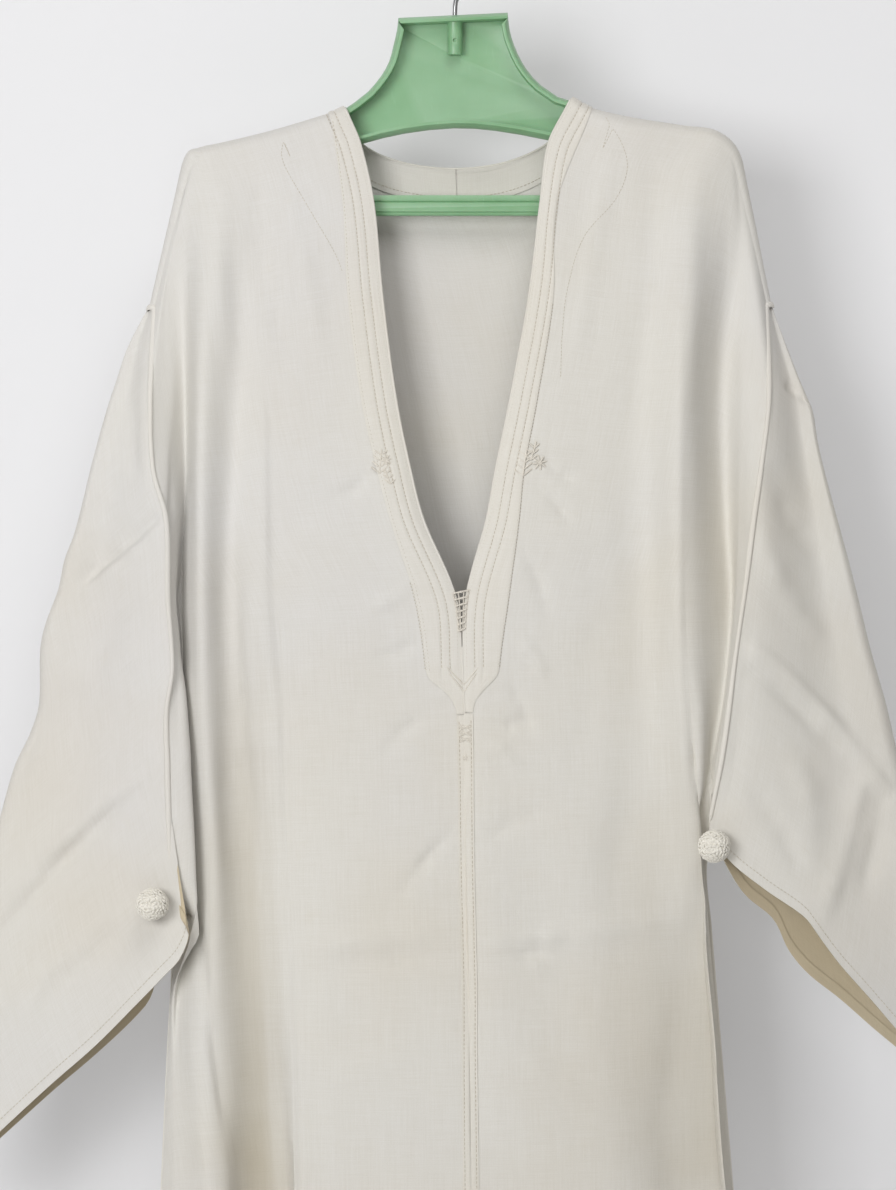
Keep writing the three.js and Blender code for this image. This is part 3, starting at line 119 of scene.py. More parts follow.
# The back hangs from seventeen lines, left to right: seam, valley, ridge, mid, side,
# turn, neck, nape and centre, then the same ones out to the right seam. Each row of
# its top line holds x, z, roll, depth, and how far behind the shoulder it starts.
BACK_TOP = [
    (-232, -285, 4, 5, 0), (-209, -186, 8, 10, 0), (-194, -164, 10, 14, 0),
    (-139, -151, 10, 14, 0), (-86, -133.5, 8, 12, 0), (-87, -139, 4, 2, 11),
    (-68, -162, 4, 2, 13.5), (-38, -174, 4, 1, 17), (1, -178, 4, 1, 19),
    (40, -173, 4, 1, 17), (72, -158, 4, 2, 13.5), (92, -133, 4, 2, 11),
    (91, -126.8, 8, 12, 0), (134, -141, 10, 14, 0), (198, -150.6, 10, 15, 0),
    (219, -180, 8, 10, 0), (240, -283, 4, 5, 0),
]
BACK_SECTIONS = [
    (-215,
     [N, N, -188, -133, -88, -82, -68, -37, 2, 41, 72, 86, 92, 134, 190, N, N],
     [N, N, 18, 17, 17, 18, 18, 19, 20, 19, 18, 18, 17, 16, 18, N, N]),
    (-320,
     [-231, -207, -178, -134, -92, -86, -68, -37, 3, 43, 75, 91, 97, 138, 178, 208, 238],
     [12, 9, 24, 20, 24, 23, 22, 24, 24, 22, 23, 22, 21, 18, 25, 9, 12]),
    (-450,
     [-224, -204, -170, -136, -97, -91, -69, -36, 4, 44, 76, 95, 101, 140, 171, 203, 226],
     [20, 9, 27, 19, 27, 26, 24, 27, 26, 23, 26, 24, 23, 18, 28, 10, 20]),
    (-570,
     [-219, -206, -172, -139, -99, -93, -69, -35, 5, 45, 77, 96, 102, 138, 166, 197, 210],
     [18, 10, 28, 19, 29, 27, 25, 28, 27, 24, 28, 26, 24, 19, 29, 13, 14]),
    (-690,
     [-217, -212, -178, -141, -100, -94, -70, -33, 7, 46, 78, 98, 104, 139, 164, 188, N],
     [-6, 10, 28, 20, 30, 28, 26, 29, 28, 25, 30, 28, 26, 20, 28, 14, N]),
    (-800,
     [N, -211, -182, -144, -101, -95, -71, -32, 8, 48, 80, 101, 107, 142, 168, 190, N],
     [N, 11, 27, 20, 31, 28, 26, 30, 29, 25, 31, 29, 27, 21, 27, 14, N]),
    (-1100,
     [N, -219, -186, -148, -103, -97, -72, -31, 11, 53, 88, 113, 119, 156, 190, 213, N],
     [N, 14, 28, 21, 33, 30, 27, 32, 31, 27, 33, 31, 29, 22, 27, 15, N]),
    (-1475,
     [N, -236, -196, -152, -106, -100, -74, -30, 14, 58, 97, 126, 132, 178, 216, 242, N],
     [N, 17, 30, 23, 36, 32, 29, 35, 34, 30, 36, 34, 32, 24, 28, 16, N]),
]

# The sleeves: (z, x) down the folded outer edge, and (x, z, y) along the two
# edges of the open cuff from the underarm to the tip.
LEFT_SLEEVE = {
    "underarm": (-215, -34, -730),
    "fold": [
        (-285, -232), (-295, -238), (-317, -249), (-339, -256), (-371, -266), (-406, -276),
        (-458, -289), (-477, -296), (-500, -301), (-526, -311), (-545, -315), (-587, -316),
        (-610, -323), (-633, -334), (-672, -346), (-758, -369), (-842, -384), (-910, -392),
        (-950, -391),
    ],
    "cuffFront": [
        (-215, -730, -34), (-206, -744, -42), (-200, -758, -43), (-207, -777, -42),
        (-216, -787, -40), (-239, -811, -34), (-271, -843, -28), (-306, -874, -23),
        (-346, -911, -18), (-380, -944, -11), (-391, -950, -6),
    ],
    "cuffBack": [
        (-216, -730, -33), (-220, -756, -18), (-226, -784, -6), (-230, -806, 0),
        (-238, -819, 3), (-271, -851, 6), (-306, -881, 8), (-346, -917, 8),
        (-380, -947, 7), (-391, -950, 5),
    ],
}
RIGHT_SLEEVE = {
    "underarm": (192, -30, -682),
    "fold": [
        (-283, 240), (-297, 245), (-341, 262), (-362, 271), (-389, 276), (-418, 283),
        (-467, 296), (-507, 306), (-545, 315), (-587, 327), (-621, 335), (-705, 357),
        (-781, 371), (-842, 379), (-880, 380),
    ],
    "cuffFront": [
        (192, -682, -30), (206, -703, -35), (233, -725, -34), (263, -746, -32),
        (272, -758, -31), (290, -782, -28), (315, -810, -24), (335, -833, -20),
        (368, -870, -12), (380, -880, -6),
    ],
    "cuffBack": [
        (193, -682, -29), (205, -708, -16), (220, -731, -6), (242, -750, 1),
        (254, -774, 4), (269, -792, 6), (293, -811, 8), (324, -838, 8), (368, -873, 7),
        (380, -880, 5),
    ],
}
POMPOM_RADIUS = 13.0

# ---- reading the tables ------------------------------------------------------

# The last line of a front, at the armhole seam, and the last one of the back.
SEAM = 7
BACK_END = 16
# A section shapes a line only where it lies this far below the line's roll.
BELOW_ROLL = 12

def mix(a, b, t):
    """From a at t = 0 to b at t = 1."""
    return a + (b - a) * t


def clamp01(t):
    """Held within 0..1."""
    return np.minimum(1.0, np.maximum(0.0, t))


def ease(t):
    """0..1 with a soft start and a soft end."""
    t = clamp01(t)
    return t * t * (3 - 2 * t)


class Course:
    """A smooth course through (at, value, value, ...) rows, either way sorted."""

    def __init__(self, rows):
        table = np.array(sorted(rows), dtype=float)
        self.at = table[:, 0]
        self.values = table[:, 1:]
        before = np.vstack([table[:1], table[:-1]])
        after = np.vstack([table[1:], table[-1:]])
        self.slopes = (after - before)[:, 1:] / (after - before)[:, :1]

    def __call__(self, at):
        at = np.clip(np.asarray(at, dtype=float), self.at[0], self.at[-1])
        i = np.clip(np.searchsorted(self.at, at, side="right") - 1, 0, len(self.at) - 2)
        span = (self.at[i + 1] - self.at[i])[..., None]
        t = (at - self.at[i])[..., None] / span
        a, b = self.values[i], self.values[i + 1]
        a_slope, b_slope = self.slopes[i] * span, self.slopes[i + 1] * span
        square, cube = t * t, t * t * t
        return ((2 * cube - 3 * square + 1) * a + (cube - 2 * square + t) * a_slope
                + (3 * square - 2 * cube) * b + (cube - square) * b_slope)


def across(points, us):
    """Smooth points at each u of us between control points, rows kept."""
    last = points.shape[1] - 1
    i = np.clip(np.floor(us).astype(int), 0, last - 1)
    t = (us - i)[None, :, None]
    a = points[:, np.clip(i - 1, 0, last)]
    b = points[:, i]
    c = points[:, i + 1]
    d = points[:, np.clip(i + 2, 0, last)]
    return b + 0.5 * t * (c - a + t * (2 * a - 5 * b + 4 * c - d + t * (3 * (b - c) + d - a)))


def inward_at(top, i):
    """The way into the cloth from a point of a top line, as x and z."""
    a = top[max(0, i - 1)]
    b = top[min(len(top) - 1, i + 1)]
    way = np.array([-(b[1] - a[1]), b[0] - a[0]], dtype=float)
    way = way / np.hypot(*way)
    return -way if b[0] > a[0] else way


class Line:
    """One line of a panel, from its start on the top line to the hem."""

    def __init__(self, top, i, sections, side, underarm=None, inward=None, first=None, below=None):
        self.x, self.z, self.roll, self.depth = top[i][:4]
        self.start_y = top[i][4] if len(top[i]) > 4 else 0
        self.side = side
        self.inward = inward_at(top, i) if inward is None else inward
        y = self.start_y + side * self.depth
        x, reach = (self.x + self.inward[0] * self.roll, self.z + self.inward[1] * self.roll)
        self.first = (x, reach) if first is None else first
        rows = [(self.first[1], self.first[0], y)]
        for level, xs, depths in sections:
            if xs[i] is not None and level < reach - BELOW_ROLL:
                rows.append((level, xs[i], side * depths[i]))
        if underarm:
            rows.append((underarm[2], underarm[0], underarm[1]))
        if below is not None:
            rows = [row for row in rows if row[0] >= underarm[2]] + below
        self.rows = rows
        self.course = Course(rows)

    def points(self, vs, middle_z):
        """The line's places at each v, with v = 2 at the height middle_z."""
        angle = np.minimum(vs, 1) * math.pi / 2
        drop = self.roll * (1 - np.cos(angle))
        rolled = np.stack([
            self.x + self.inward[0] * drop,
            self.start_y + self.side * self.depth * np.sin(angle),
            self.z + self.inward[1] * drop,
        ], axis=1)
        z = np.where(vs < 2, mix(self.first[1], middle_z, vs - 1), mix(middle_z, HEM_Z, vs - 2))
        xy = self.course(z)
        hanging = np.stack([xy[:, 0], xy[:, 1], z], axis=1)
        return np.where((vs < 1)[:, None], rolled, hanging)


class Side:
    """The lines, cuff edges and sleeve fold of one side of the robe."""

    def __init__(self, sign, back_u, top, sections, sleeve):
        self.sign = sign
        self.back_u = back_u
        self.apex = top[SEAM]
        self.underarm = sleeve["underarm"]
        self.lines = []
        for i in range(SEAM + 1):
            self.lines.append(Line(top, i, sections, -1, self.underarm if i == SEAM else None))
        self.fold = Course(sleeve["fold"])
        self.tip = sleeve["fold"][-1]
        self.cuff_front = self.measured(sleeve["cuffFront"])
        self.cuff_back = self.measured(sleeve["cuffBack"])

    @staticmethod
    def measured(edge):
        """A course along a cuff edge by the share of its length."""
        lengths = [0.0]
        for a, b in zip(edge, edge[1:]):
            lengths.append(lengths[-1] + math.hypot(b[0] - a[0], b[1] - a[1]))
        rows = []
        for length, (x, z, y) in zip(lengths, edge):
            rows.append((length / lengths[-1], x, y, z))
        return Course(rows)


SIDES = {
    "left": Side(-1, 0, LEFT_TOP, LEFT_SECTIONS, LEFT_SLEEVE),
    "right": Side(1, BACK_END, RIGHT_TOP, RIGHT_SECTIONS, RIGHT_SLEEVE),
}


def front_sheet(side, us, vs):
    """The front: u = 0 at the neck edge and centre front, SEAM at the armhole."""
    columns = []
    for i, line in enumerate(side.lines):
        columns.append(line.points(vs, mix(CENTRE_MIDDLE_Z, side.underarm[2], (i / SEAM) ** 2)))
    return across(np.stack(columns, axis=1), us)


def back_line(i):
    """A line of the back; its outer two share the fronts' armhole seams."""
    if i not in (0, BACK_END):
        return Line(BACK_TOP, i, BACK_SECTIONS, 1)
    side = SIDES["left"] if i == 0 else SIDES["right"]
    seam = side.lines[SEAM]
    below = [row for row in seam.rows if row[0] < side.underarm[2]]
    return Line(BACK_TOP, i, BACK_SECTIONS, 1, side.underarm, seam.inward, seam.first, below)


BACK_LINES = [back_line(i) for i in range(BACK_END + 1)]
BACK_CENTRE = BACK_END // 2
TO_FRONT = np.array([0.0, -1.0, 0.0])
TO_BACK = -TO_FRONT


def back_sheet(us, vs):
    """The back: u = 0 at the left armhole, BACK_END at the right one."""
    columns = []
    for i, line in enumerate(BACK_LINES):
        under = SIDES["left" if i < BACK_CENTRE else "right"].underarm[2]
        columns.append(line.points(vs, mix(CENTRE_MIDDLE_Z, under, (i / BACK_CENTRE - 1) ** 2)))
    points = across(np.stack(columns, axis=1), us)
    rolled = (vs < 1)[:, None]
    points[..., 1] = np.where(rolled, np.maximum(0, points[..., 1]), points[..., 1])
    return points


SLEEVE_HALF_DEPTH = 9.0
FOLD_ROUND = 0.1


def sleeve_sheet(side, us, vs):
    """A sleeve: u = 0 at the front armhole, 0.5 at the outer fold, 1 at the back."""
    front_seam = front_sheet(side, np.array([float(SEAM)]), vs)[:, 0]
    back_seam = back_sheet(np.array([float(side.back_u)]), vs)[:, 0]
    columns = []
    for u in us:
        to_front = u <= 0.5
        out = 2 * u if to_front else 2 * (1 - u)
        seam = front_seam if to_front else back_seam
        cuff = (side.cuff_front if to_front else side.cuff_back)(out)
        apex_z, underarm = side.apex[1], side.underarm
        drop = clamp01((apex_z - seam[:, 2]) / (apex_z - underarm[2]))
        fold_z = mix(apex_z, side.tip[0], drop)
        fold_x = side.fold(fold_z)[:, 0]
        pull = drop ** 3
        half_depth = (-1 if to_front else 1) * SLEEVE_HALF_DEPTH * ease(drop * 5)
        turn = max(0.0, (out - 1 + FOLD_ROUND) / FOLD_ROUND)
        rounding = math.sqrt(max(0.0, 1 - turn ** 2))
        flat_y = mix(seam[:, 1], half_depth, ease(out * 1.5))
        columns.append(np.stack([
            mix(seam[:, 0], fold_x, out) + pull * (cuff[0] - mix(underarm[0], side.tip[1], out)),
            mix(flat_y, cuff[1], pull * ease(out * 12)) * rounding,
            mix(seam[:, 2], fold_z, out) + pull * (cuff[2] - mix(underarm[2], side.tip[0], out)),
        ], axis=1))
    return np.stack(columns, axis=1)


# ---- fine sheets -------------------------------------------------------------


def grid_normals(points, outward):
    """Unit normals of a grid of points, turned towards `outward`."""
    normals = np.cross(np.gradient(points, axis=1), np.gradient(points, axis=0))
    lengths = np.linalg.norm(normals, axis=2, keepdims=True)
    normals = normals / np.maximum(lengths, 1e-9)
    middle = normals[points.shape[0] // 2, points.shape[1] // 4]
    return -normals if np.dot(middle, outward) < 0 else normals


def path_distance(xz, path):
    """Signed distance of each point to a path, and the share of its length."""
    path = np.array(path, dtype=float)
    parts = np.linalg.norm(np.diff(path, axis=0), axis=1)
    starts = np.concatenate([[0], np.cumsum(parts)])
    best = np.full(xz.shape[:-1], 1e9)
    signed = np.zeros(xz.shape[:-1])
    share = np.zeros(xz.shape[:-1])
    for i, part in enumerate(parts):
        way = (path[i + 1] - path[i]) / part
        offset = xz - path[i]
        reach = np.clip(offset @ way, 0, part)
        away = offset - reach[..., None] * way
        distance = np.linalg.norm(away, axis=-1)
        nearer = distance < best
        best = np.where(nearer, distance, best)
        turn = np.sign(way[0] * offset[..., 1] - way[1] * offset[..., 0])
        signed = np.where(nearer, distance * turn, signed)
        share = np.where(nearer, (starts[i] + reach) / starts[-1], share)
    return signed, share


class Sheet:
    """A fine grid on a cloth surface, with its u and v and its normals."""

    def __init__(self, us, vs, points, outward):
        self.us = np.asarray(us, dtype=float)
        self.vs = np.asarray(vs, dtype=float)
        self.points = points
        self.outward = np.array(outward, dtype=float)
        self.normals = grid_normals(points, self.outward)

    def lift(self, heights):
        """Moves the cloth along its normals and works these out again."""
        self.points = self.points + self.normals * heights[..., None]
        self.normals = grid_normals(self.points, self.outward)

    def lay_folds(self, folds, keep):
        """Lays soft troughs and ridges: (path, half width, height, lean)."""
        xz = self.points[..., [0, 2]]
        heights = np.zeros(xz.shape[:-1])
        for i, (path, width, height, lean) in enumerate(folds):
            signed, share = path_distance(xz, path)
            spread = np.where(signed > 0, width * lean, width / lean)
            ends = np.sin(math.pi * np.clip(share, 0.02, 0.98)) ** 0.6
            uneven = 1 + 0.25 * np.sin(9 * share + 1.7 * i) + 0.12 * np.sin(23 * share + i)
            heights += height * np.exp(-(signed / spread) ** 2) * ends * uneven
        self.lift(heights * keep)

    def at(self, u, v):
        """The point and normal at each u, v, between the grid's own."""
        u, v = np.broadcast_arrays(np.asarray(u, dtype=float), np.asarray(v, dtype=float))
        c = np.clip(np.searchsorted(self.us, u, side="right") - 1, 0, len(self.us) - 2)
        k = np.clip(np.searchsorted(self.vs, v, side="right") - 1, 0, len(self.vs) - 2)
        s = ((u - self.us[c]) / (self.us[c + 1] - self.us[c]))[..., None]
        t = ((v - self.vs[k]) / (self.vs[k + 1] - self.vs[k]))[..., None]
        found = []
        for values in (self.points, self.normals):
            above = values[k, c] * (1 - s) + values[k, c + 1] * s
            below = values[k + 1, c] * (1 - s) + values[k + 1, c + 1] * s
            found.append(above * (1 - t) + below * t)
        lengths = np.linalg.norm(found[1], axis=-1, keepdims=True)
        return found[0], found[1] / np.maximum(lengths, 1e-9)

    def find(self, x, z):
        """The u and v of the sheet at a place in the front view."""
        flat_points = self.points[..., [0, 2]]
        away = np.array([x, z]) - flat_points
        k, c = np.unravel_index(np.argmin((away ** 2).sum(axis=-1)), away.shape[:2])
        k = int(np.clip(k, 1, len(self.vs) - 2))
        c = int(np.clip(c, 1, len(self.us) - 2))
        du = (flat_points[k, c + 1] - flat_points[k, c - 1]) / (self.us[c + 1] - self.us[c - 1])
        dv = (flat_points[k + 1, c] - flat_points[k - 1, c]) / (self.vs[k + 1] - self.vs[k - 1])
        step = np.linalg.solve(np.stack([du, dv], axis=1), away[k, c])
        return self.us[c] + step[0], self.vs[k] + step[1]


def soft_waves(points, seed, height):
    """Broad, shallow unevenness such as hanging cloth has."""
    rng = np.random.default_rng(seed)
    total = np.zeros(points.shape[:-1])
    for _ in range(7):
        across_rate = rng.uniform(0.02, 0.09)
        down_rate = rng.uniform(0.004, 0.03)
        phase = rng.uniform(0, 6.28)
        slant = points[..., 0] * across_rate + points[..., 2] * down_rate
        total += np.sin(slant + phase + 0.6 * np.sin(points[..., 2] * 0.013 + phase))
    return total * height / 3


def level(values, low, high):
    """0 below `low`, 1 above `high`, and soft between."""
    return ease((values - low) / (high - low))


def put_in_scene(name, data):
    """A new object that holds a mesh, a lamp or a lens."""
    piece = bpy.data.objects.new(name, data)
    bpy.context.scene.collection.objects.link(piece)
    return piece


def sheet_mesh(name, sheet_or_points, outward=None):
    """A mesh of one layer of cloth, with its own cloth metres as UV."""
    points = sheet_or_points.points if isinstance(sheet_or_points, Sheet) else sheet_or_points
    if isinstance(sheet_or_points, Sheet):
        normals = sheet_or_points.normals
    else:
        normals = grid_normals(points, np.array(outward, dtype=float))
    rows, columns = points.shape[:2]
    index = np.arange(rows * columns).reshape(rows, columns)
    quads = np.stack([index[:-1, :-1], index[1:, :-1], index[1:, 1:], index[:-1, 1:]], axis=-1)
    k, c = rows // 2, columns // 4
    ring = points.reshape(-1, 3)[quads[k, c]]
    facing = np.cross(ring[1] - ring[0], ring[2] - ring[0])
    if np.dot(facing, normals[k, c]) < 0:
        quads = quads[..., ::-1]
    quads = quads.reshape(-1, 4)
    mesh = bpy.data.meshes.new(name)
    mesh.from_pydata((points.reshape(-1, 3) * MM).tolist(), [], quads.tolist())
    along_row = np.linalg.norm(np.diff(points, axis=1), axis=2)
    down_column = np.linalg.norm(np.diff(points, axis=0), axis=2).mean(axis=1)
    u = np.concatenate([np.zeros((rows, 1)), np.cumsum(along_row, axis=1)], axis=1)
    v = np.concatenate([[0], np.cumsum(down_column)])
    uv = np.stack([u, np.broadcast_to(v[:, None], u.shape)], axis=-1).reshape(-1, 2) * MM
    layer = mesh.uv_layers.new(name="cloth_metres")
    layer.data.foreach_set("uv", uv[quads.reshape(-1)].astype(np.float32).ravel())
    mesh.update()
    return put_in_scene(name, mesh)


def only(piece):
    """Leaves one piece selected and active."""
    bpy.ops.object.select_all(action="DESELECT")
    piece.select_set(True)
    bpy.context.view_layer.objects.active = piece


def close_poles(piece, reach=0.00001):
    """Joins the points that lie together, at a pole or along a seam."""
    work = bmesh.new()
    work.from_mesh(piece.data)
    bmesh.ops.remove_doubles(work, verts=work.verts, dist=reach)
    work.to_mesh(piece.data)
    work.free()


def give_wall(piece, thickness=CLOTH):
    """Turns one layer of cloth into a thin wall of it."""
    only(piece)
    wall = piece.modifiers.new("wall", "SOLIDIFY")
    wall.thickness = thickness * MM
    wall.offset = 0.0
    wall.use_even_offset = False
    bpy.ops.object.modifier_apply(modifier=wall.name)


def settle(piece, material, node=None, angle=60):
    """Gives a finished piece its finish, its body and what it replaces."""
    only(piece)
    bpy.ops.object.shade_smooth_by_angle(angle=math.radians(angle))
    piece.data.materials.clear()
    piece.data.materials.append(material)
    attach(piece, "root")
    if node:
        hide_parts(node)
    return piece


def joined(name, parts):
    """One mesh from many (vertices, faces) parts."""
    vertices = []
    faces = []
    for points, polygons in parts:
        start = len(vertices)
        vertices.extend(points)
        faces.extend([[start + i for i in polygon] for polygon in polygons])
    mesh = bpy.data.meshes.new(name)
    mesh.from_pydata((np.array(vertices) * MM).tolist(), [], faces)
    mesh.update()
    return put_in_scene(name, mesh)


def tube_part(centres, widths, heights, ups, sides):
    """A closed tube along `centres`, flattened to a width and a height."""
    centres = np.asarray(centres, dtype=float)
    ups = np.asarray(ups, dtype=float)
    ways = np.gradient(centres, axis=0)
    ways /= np.maximum(np.linalg.norm(ways, axis=1, keepdims=True), 1e-9)
    asides = np.cross(ways, ups)
    asides /= np.maximum(np.linalg.norm(asides, axis=1, keepdims=True), 1e-9)
    tops = np.cross(asides, ways)
    angles = np.arange(sides) * 2 * math.pi / sides
    across_it = np.cos(angles)[None, :, None] * np.asarray(widths)[:, None, None]
    over_it = np.sin(angles)[None, :, None] * np.asarray(heights)[:, None, None]
    rings = centres[:, None, :] + asides[:, None, :] * across_it + tops[:, None, :] * over_it
    count = len(centres)
    faces = []
    for k in range(count - 1):
        for i in range(sides):
            j = (i + 1) % sides
            faces.append([k * sides + i, k * sides + j, (k + 1) * sides + j, (k + 1) * sides + i])
    faces.append(list(range(sides - 1, -1, -1)))
    faces.append([(count - 1) * sides + i for i in range(sides)])
    return rings.reshape(-1, 3).tolist(), faces


def face_out(piece):
    """Turns a closed mesh's faces outwards."""
    work = bmesh.new()
    work.from_mesh(piece.data)
    bmesh.ops.recalc_face_normals(work, faces=work.faces)
    work.to_mesh(piece.data)
    work.free()


def tubes_piece(name, parts, material, node=None):
    """Closed tubes joined into one finished piece."""
    piece = joined(name, parts)
    face_out(piece)
    return settle(piece, material, node)


# ---- folds -------------------------------------------------------------------

# Each fold: its path in the front view, its half width, its height (a trough is
# negative), and its lean, which widens one side and narrows the other as much.
FRONT_FOLDS = [
    # the long pressed crease down the left front, and the hollow beside it
    ([(-146, -352), (-144, -374), (-142, -507), (-135, -583), (-131, -650)], 5, 1.3, 0.6),
    ([(-136, -600), (-129, -716), (-128, -763), (-125, -850), (-122, -956), (-119, -1190)],
     4.5, 2.2, 0.6),
    ([(-121, -1150), (-117, -1300), (-116, -1460)], 6, 1.4, 0.7),
    ([(-124, -640), (-119, -763), (-113, -956), (-110, -1200)], 9, -1.5, 1.3),
    ([(-171, -470), (-168, -600), (-165, -700)], 12, -2.0, 1.2),
    ([(-159, -600), (-152, -700), (-146, -800), (-142, -950), (-140, -1150), (-140, -1470)],
     24, -12.0, 1.25),
    ([(-129, -640), (-129, -760), (-127, -900), (-126, -1050), (-124, -1470)], 9, -4.2, 0.36),
    ([(-150, -430), (-152, -600), (-146, -800)], 10, 1.4, 1.0),
    # from the left cuff down and in
    ([(-197, -748), (-193, -772), (-187, -816), (-180, -860), (-172, -915)], 6, -2.6, 1.4),
    ([(-205, -800), (-196, -850), (-186, -930), (-184, -1040)], 8, 2.0, 0.8),
    # the pockets beside the armhole seams and under the left cuff
    ([(-216, -432), (-211, -450), (-209, -490), (-209, -540), (-208, -600)], 4, -1.5, 0.8),
    ([(-203, -436), (-204, -480), (-204, -560), (-203, -640)], 4.5, 1.0, 1.4),
    ([(173.5, -240), (173, -355), (172.5, -477), (173, -583), (178, -644), (184, -690)],
     4, -1.2, 1.6),
    ([(-216, -728), (-209, -742), (-203, -756), (-204, -772)], 5.5, -5.0, 1.0),
    # the press fold across the front
    ([(-118, -768), (-60, -762), (-8, -757)], 8, 1.5, 0.7),
    ([(20, -762), (38, -765), (60, -764), (84, -757)], 5, 2.3, 0.6),
    ([(26, -771), (52, -774), (80, -768)], 5, -1.6, 1.3),
    ([(52, -777), (62, -781), (76, -778)], 3.5, 0.9, 0.8),
    ([(84, -757), (130, -752), (180, -747)], 8, 1.4, 0.7),
    ([(-100, -781), (-40, -776), (-6, -775)], 10, -0.7, 1.2),
    ([(-90, -1120), (0, -1128), (110, -1116)], 11, 0.9, 0.7),
    # thin slanting creases
    ([(1, -676), (-20, -700), (-49, -736)], 3.6, -1.3, 1.2),
    ([(22, -690), (46, -672), (70, -664)], 7, -0.8, 1.0),
    ([(-30, -842), (-70, -862), (-104, -868)], 7, 0.7, 1.0),
    ([(30, -835), (74, -868), (120, -884)], 9, 0.8, 0.8),
    ([(140, -600), (120, -720), (126, -860)], 14, -1.0, 1.0),
    ([(176, -760), (160, -900), (178, -1100)], 12, -1.2, 1.2),
    ([(192, -720), (193, -1000), (200, -1475)], 66, -12.0, 1.2),
    ([(176, -560), (178, -590), (180, -640), (187, -672), (190, -695)], 4, -2.6, 1.0),
    ([(184, -560), (178, -640), (176, -730)], 9, 1.6, 0.8),
    # puckers beside the neck bands
    ([(66, -398), (78, -411), (92, -418)], 4.5, -1.3, 1.0),
    ([(60, -420), (72, -430), (90, -452)], 4.5, -1.1, 1.0),
    ([(50, -470), (63, -492), (70, -520)], 5, -1.1, 1.0),
    ([(48, -536), (60, -548), (68, -566)], 4.5, 1.1, 1.0),
    ([(42, -570), (52, -590), (58, -612)], 5, -1.0, 1.0),
    ([(26, -600), (40, -602), (58, -598)], 4.5, -1.1, 1.0),
    ([(22, -612), (36, -620), (50, -634)], 4.5, 1.0, 1.0),
    ([(-30, -540), (-44, -548), (-60, -551)], 4.5, -1.1, 1.0),
    ([(-34, -498), (-48, -508), (-66, -514)], 4.5, 1.1, 1.0),
    ([(-62, -410), (-76, -424), (-96, -432)], 5, -1.2, 1.0),
    ([(-22, -594), (-40, -606), (-56, -625)], 5, -1.0, 1.0),
    # drape from the shoulders
    ([(-150, -170), (-146, -240), (-128, -330)], 9, -1.3, 1.0),
    ([(-128, -190), (-112, -260), (-98, -340)], 8, 1.0, 1.0),
    ([(-176, -180), (-178, -260), (-166, -380)], 8, 1.2, 1.0),
    ([(120, -160), (104, -240), (90, -330)], 9, 1.0, 1.0),
    ([(150, -165), (150, -260), (134, -390)], 10, -1.2, 1.0),
    ([(182, -176), (176, -280), (168, -420)], 8, 1.2, 1.0),
    ([(98, -430), (110, -520), (92, -650)], 14, -0.9, 1.0),
]

# The sleeves' front layer.
SLEEVE_FRONT_FOLDS = [
    ([(-220, -444), (-240, -462), (-262, -480), (-285, -498)], 4.5, -2.2, 0.6),
    ([(-224, -452), (-248, -474), (-286, -508)], 8, 1.6, 1.3),
    ([(-230, -636), (-262, -660), (-300, -696), (-345, -752)], 9, 1.9, 0.6),
    ([(-236, -650), (-270, -676), (-310, -714), (-352, -770)], 9, -1.6, 1.3),
    ([(-232, -540), (-262, -560), (-300, -572)], 11, 1.0, 1.0),
    ([(-246, -318), (-244, -400), (-240, -440)], 7, -1.3, 1.0),
    ([(-258, -400), (-272, -450), (-292, -478)], 8, 1.1, 1.0),
    ([(-240, -745), (-268, -770), (-300, -800)], 8, -1.0, 1.0),
    ([(-330, -790), (-350, -830), (-372, -880)], 8, 1.0, 1.0),
    ([(-280, -760), (-310, -790), (-330, -835)], 8, 1.0, 1.0),
    ([(-300, -580), (-320, -640), (-345, -700)], 10, -1.1, 1.0),
    ([(249, -344), (258, -350), (270, -358)], 3.5, -1.5, 1.2),
    ([(213, -538), (238, -552), (262, -576), (290, -604), (312, -633)], 8, 1.8, 0.7),
    ([(216, -556), (240, -572), (264, -594), (296, -626)], 8, -1.5, 1.2),
    ([(312, -633), (325, -648), (340, -664)], 7, 1.5, 0.8),
    ([(312, -633), (300, -680), (288, -720), (276, -752)], 7, 1.6, 0.7),
    ([(326, -640), (318, -690), (304, -740)], 8, -1.4, 1.3),
    ([(236, -400), (254, -450), (280, -480)], 10, -1.2, 1.0),
    ([(228, -450), (246, -500), (278, -540)], 9, 1.2, 1.0),
    ([(224, -650), (246, -680), (262, -715)], 8, -1.2, 1.0),
    ([(340, -690), (346, -760), (352, -820)], 8, 1.0, 1.0),
    ([(250, -620), (266, -650), (270, -690)], 9, 1.0, 1.0),
]

# The hidden layers have creases of the same kinds.
SLEEVE_BACK_FOLDS = [
    ([(-238, -470), (-262, -500), (-296, -520)], 7, 1.8, 0.8),
    ([(-240, -490), (-268, -522), (-300, -548)], 8, -1.4, 1.2),
    ([(-236, -640), (-280, -676), (-334, -740)], 10, 1.7, 0.7),
    ([(-240, -600), (-262, -640), (-296, -664)], 9, -1.2, 1.0),
    ([(-300, -770), (-336, -820), (-368, -880)], 9, 1.2, 1.0),
    ([(-248, -360), (-250, -420), (-262, -470)], 8, -1.2, 1.0),
    ([(232, -420), (258, -470), (290, -500)], 8, 1.7, 0.8),
    ([(226, -560), (262, -606), (318, -650)], 10, -1.5, 1.2),
    ([(222, -590), (252, -640), (276, -700)], 9, 1.5, 0.8),
    ([(300, -660), (330, -720), (350, -800)], 9, -1.2, 1.0),
    ([(250, -340), (254, -400), (268, -440)], 8, 1.2, 1.0),
]
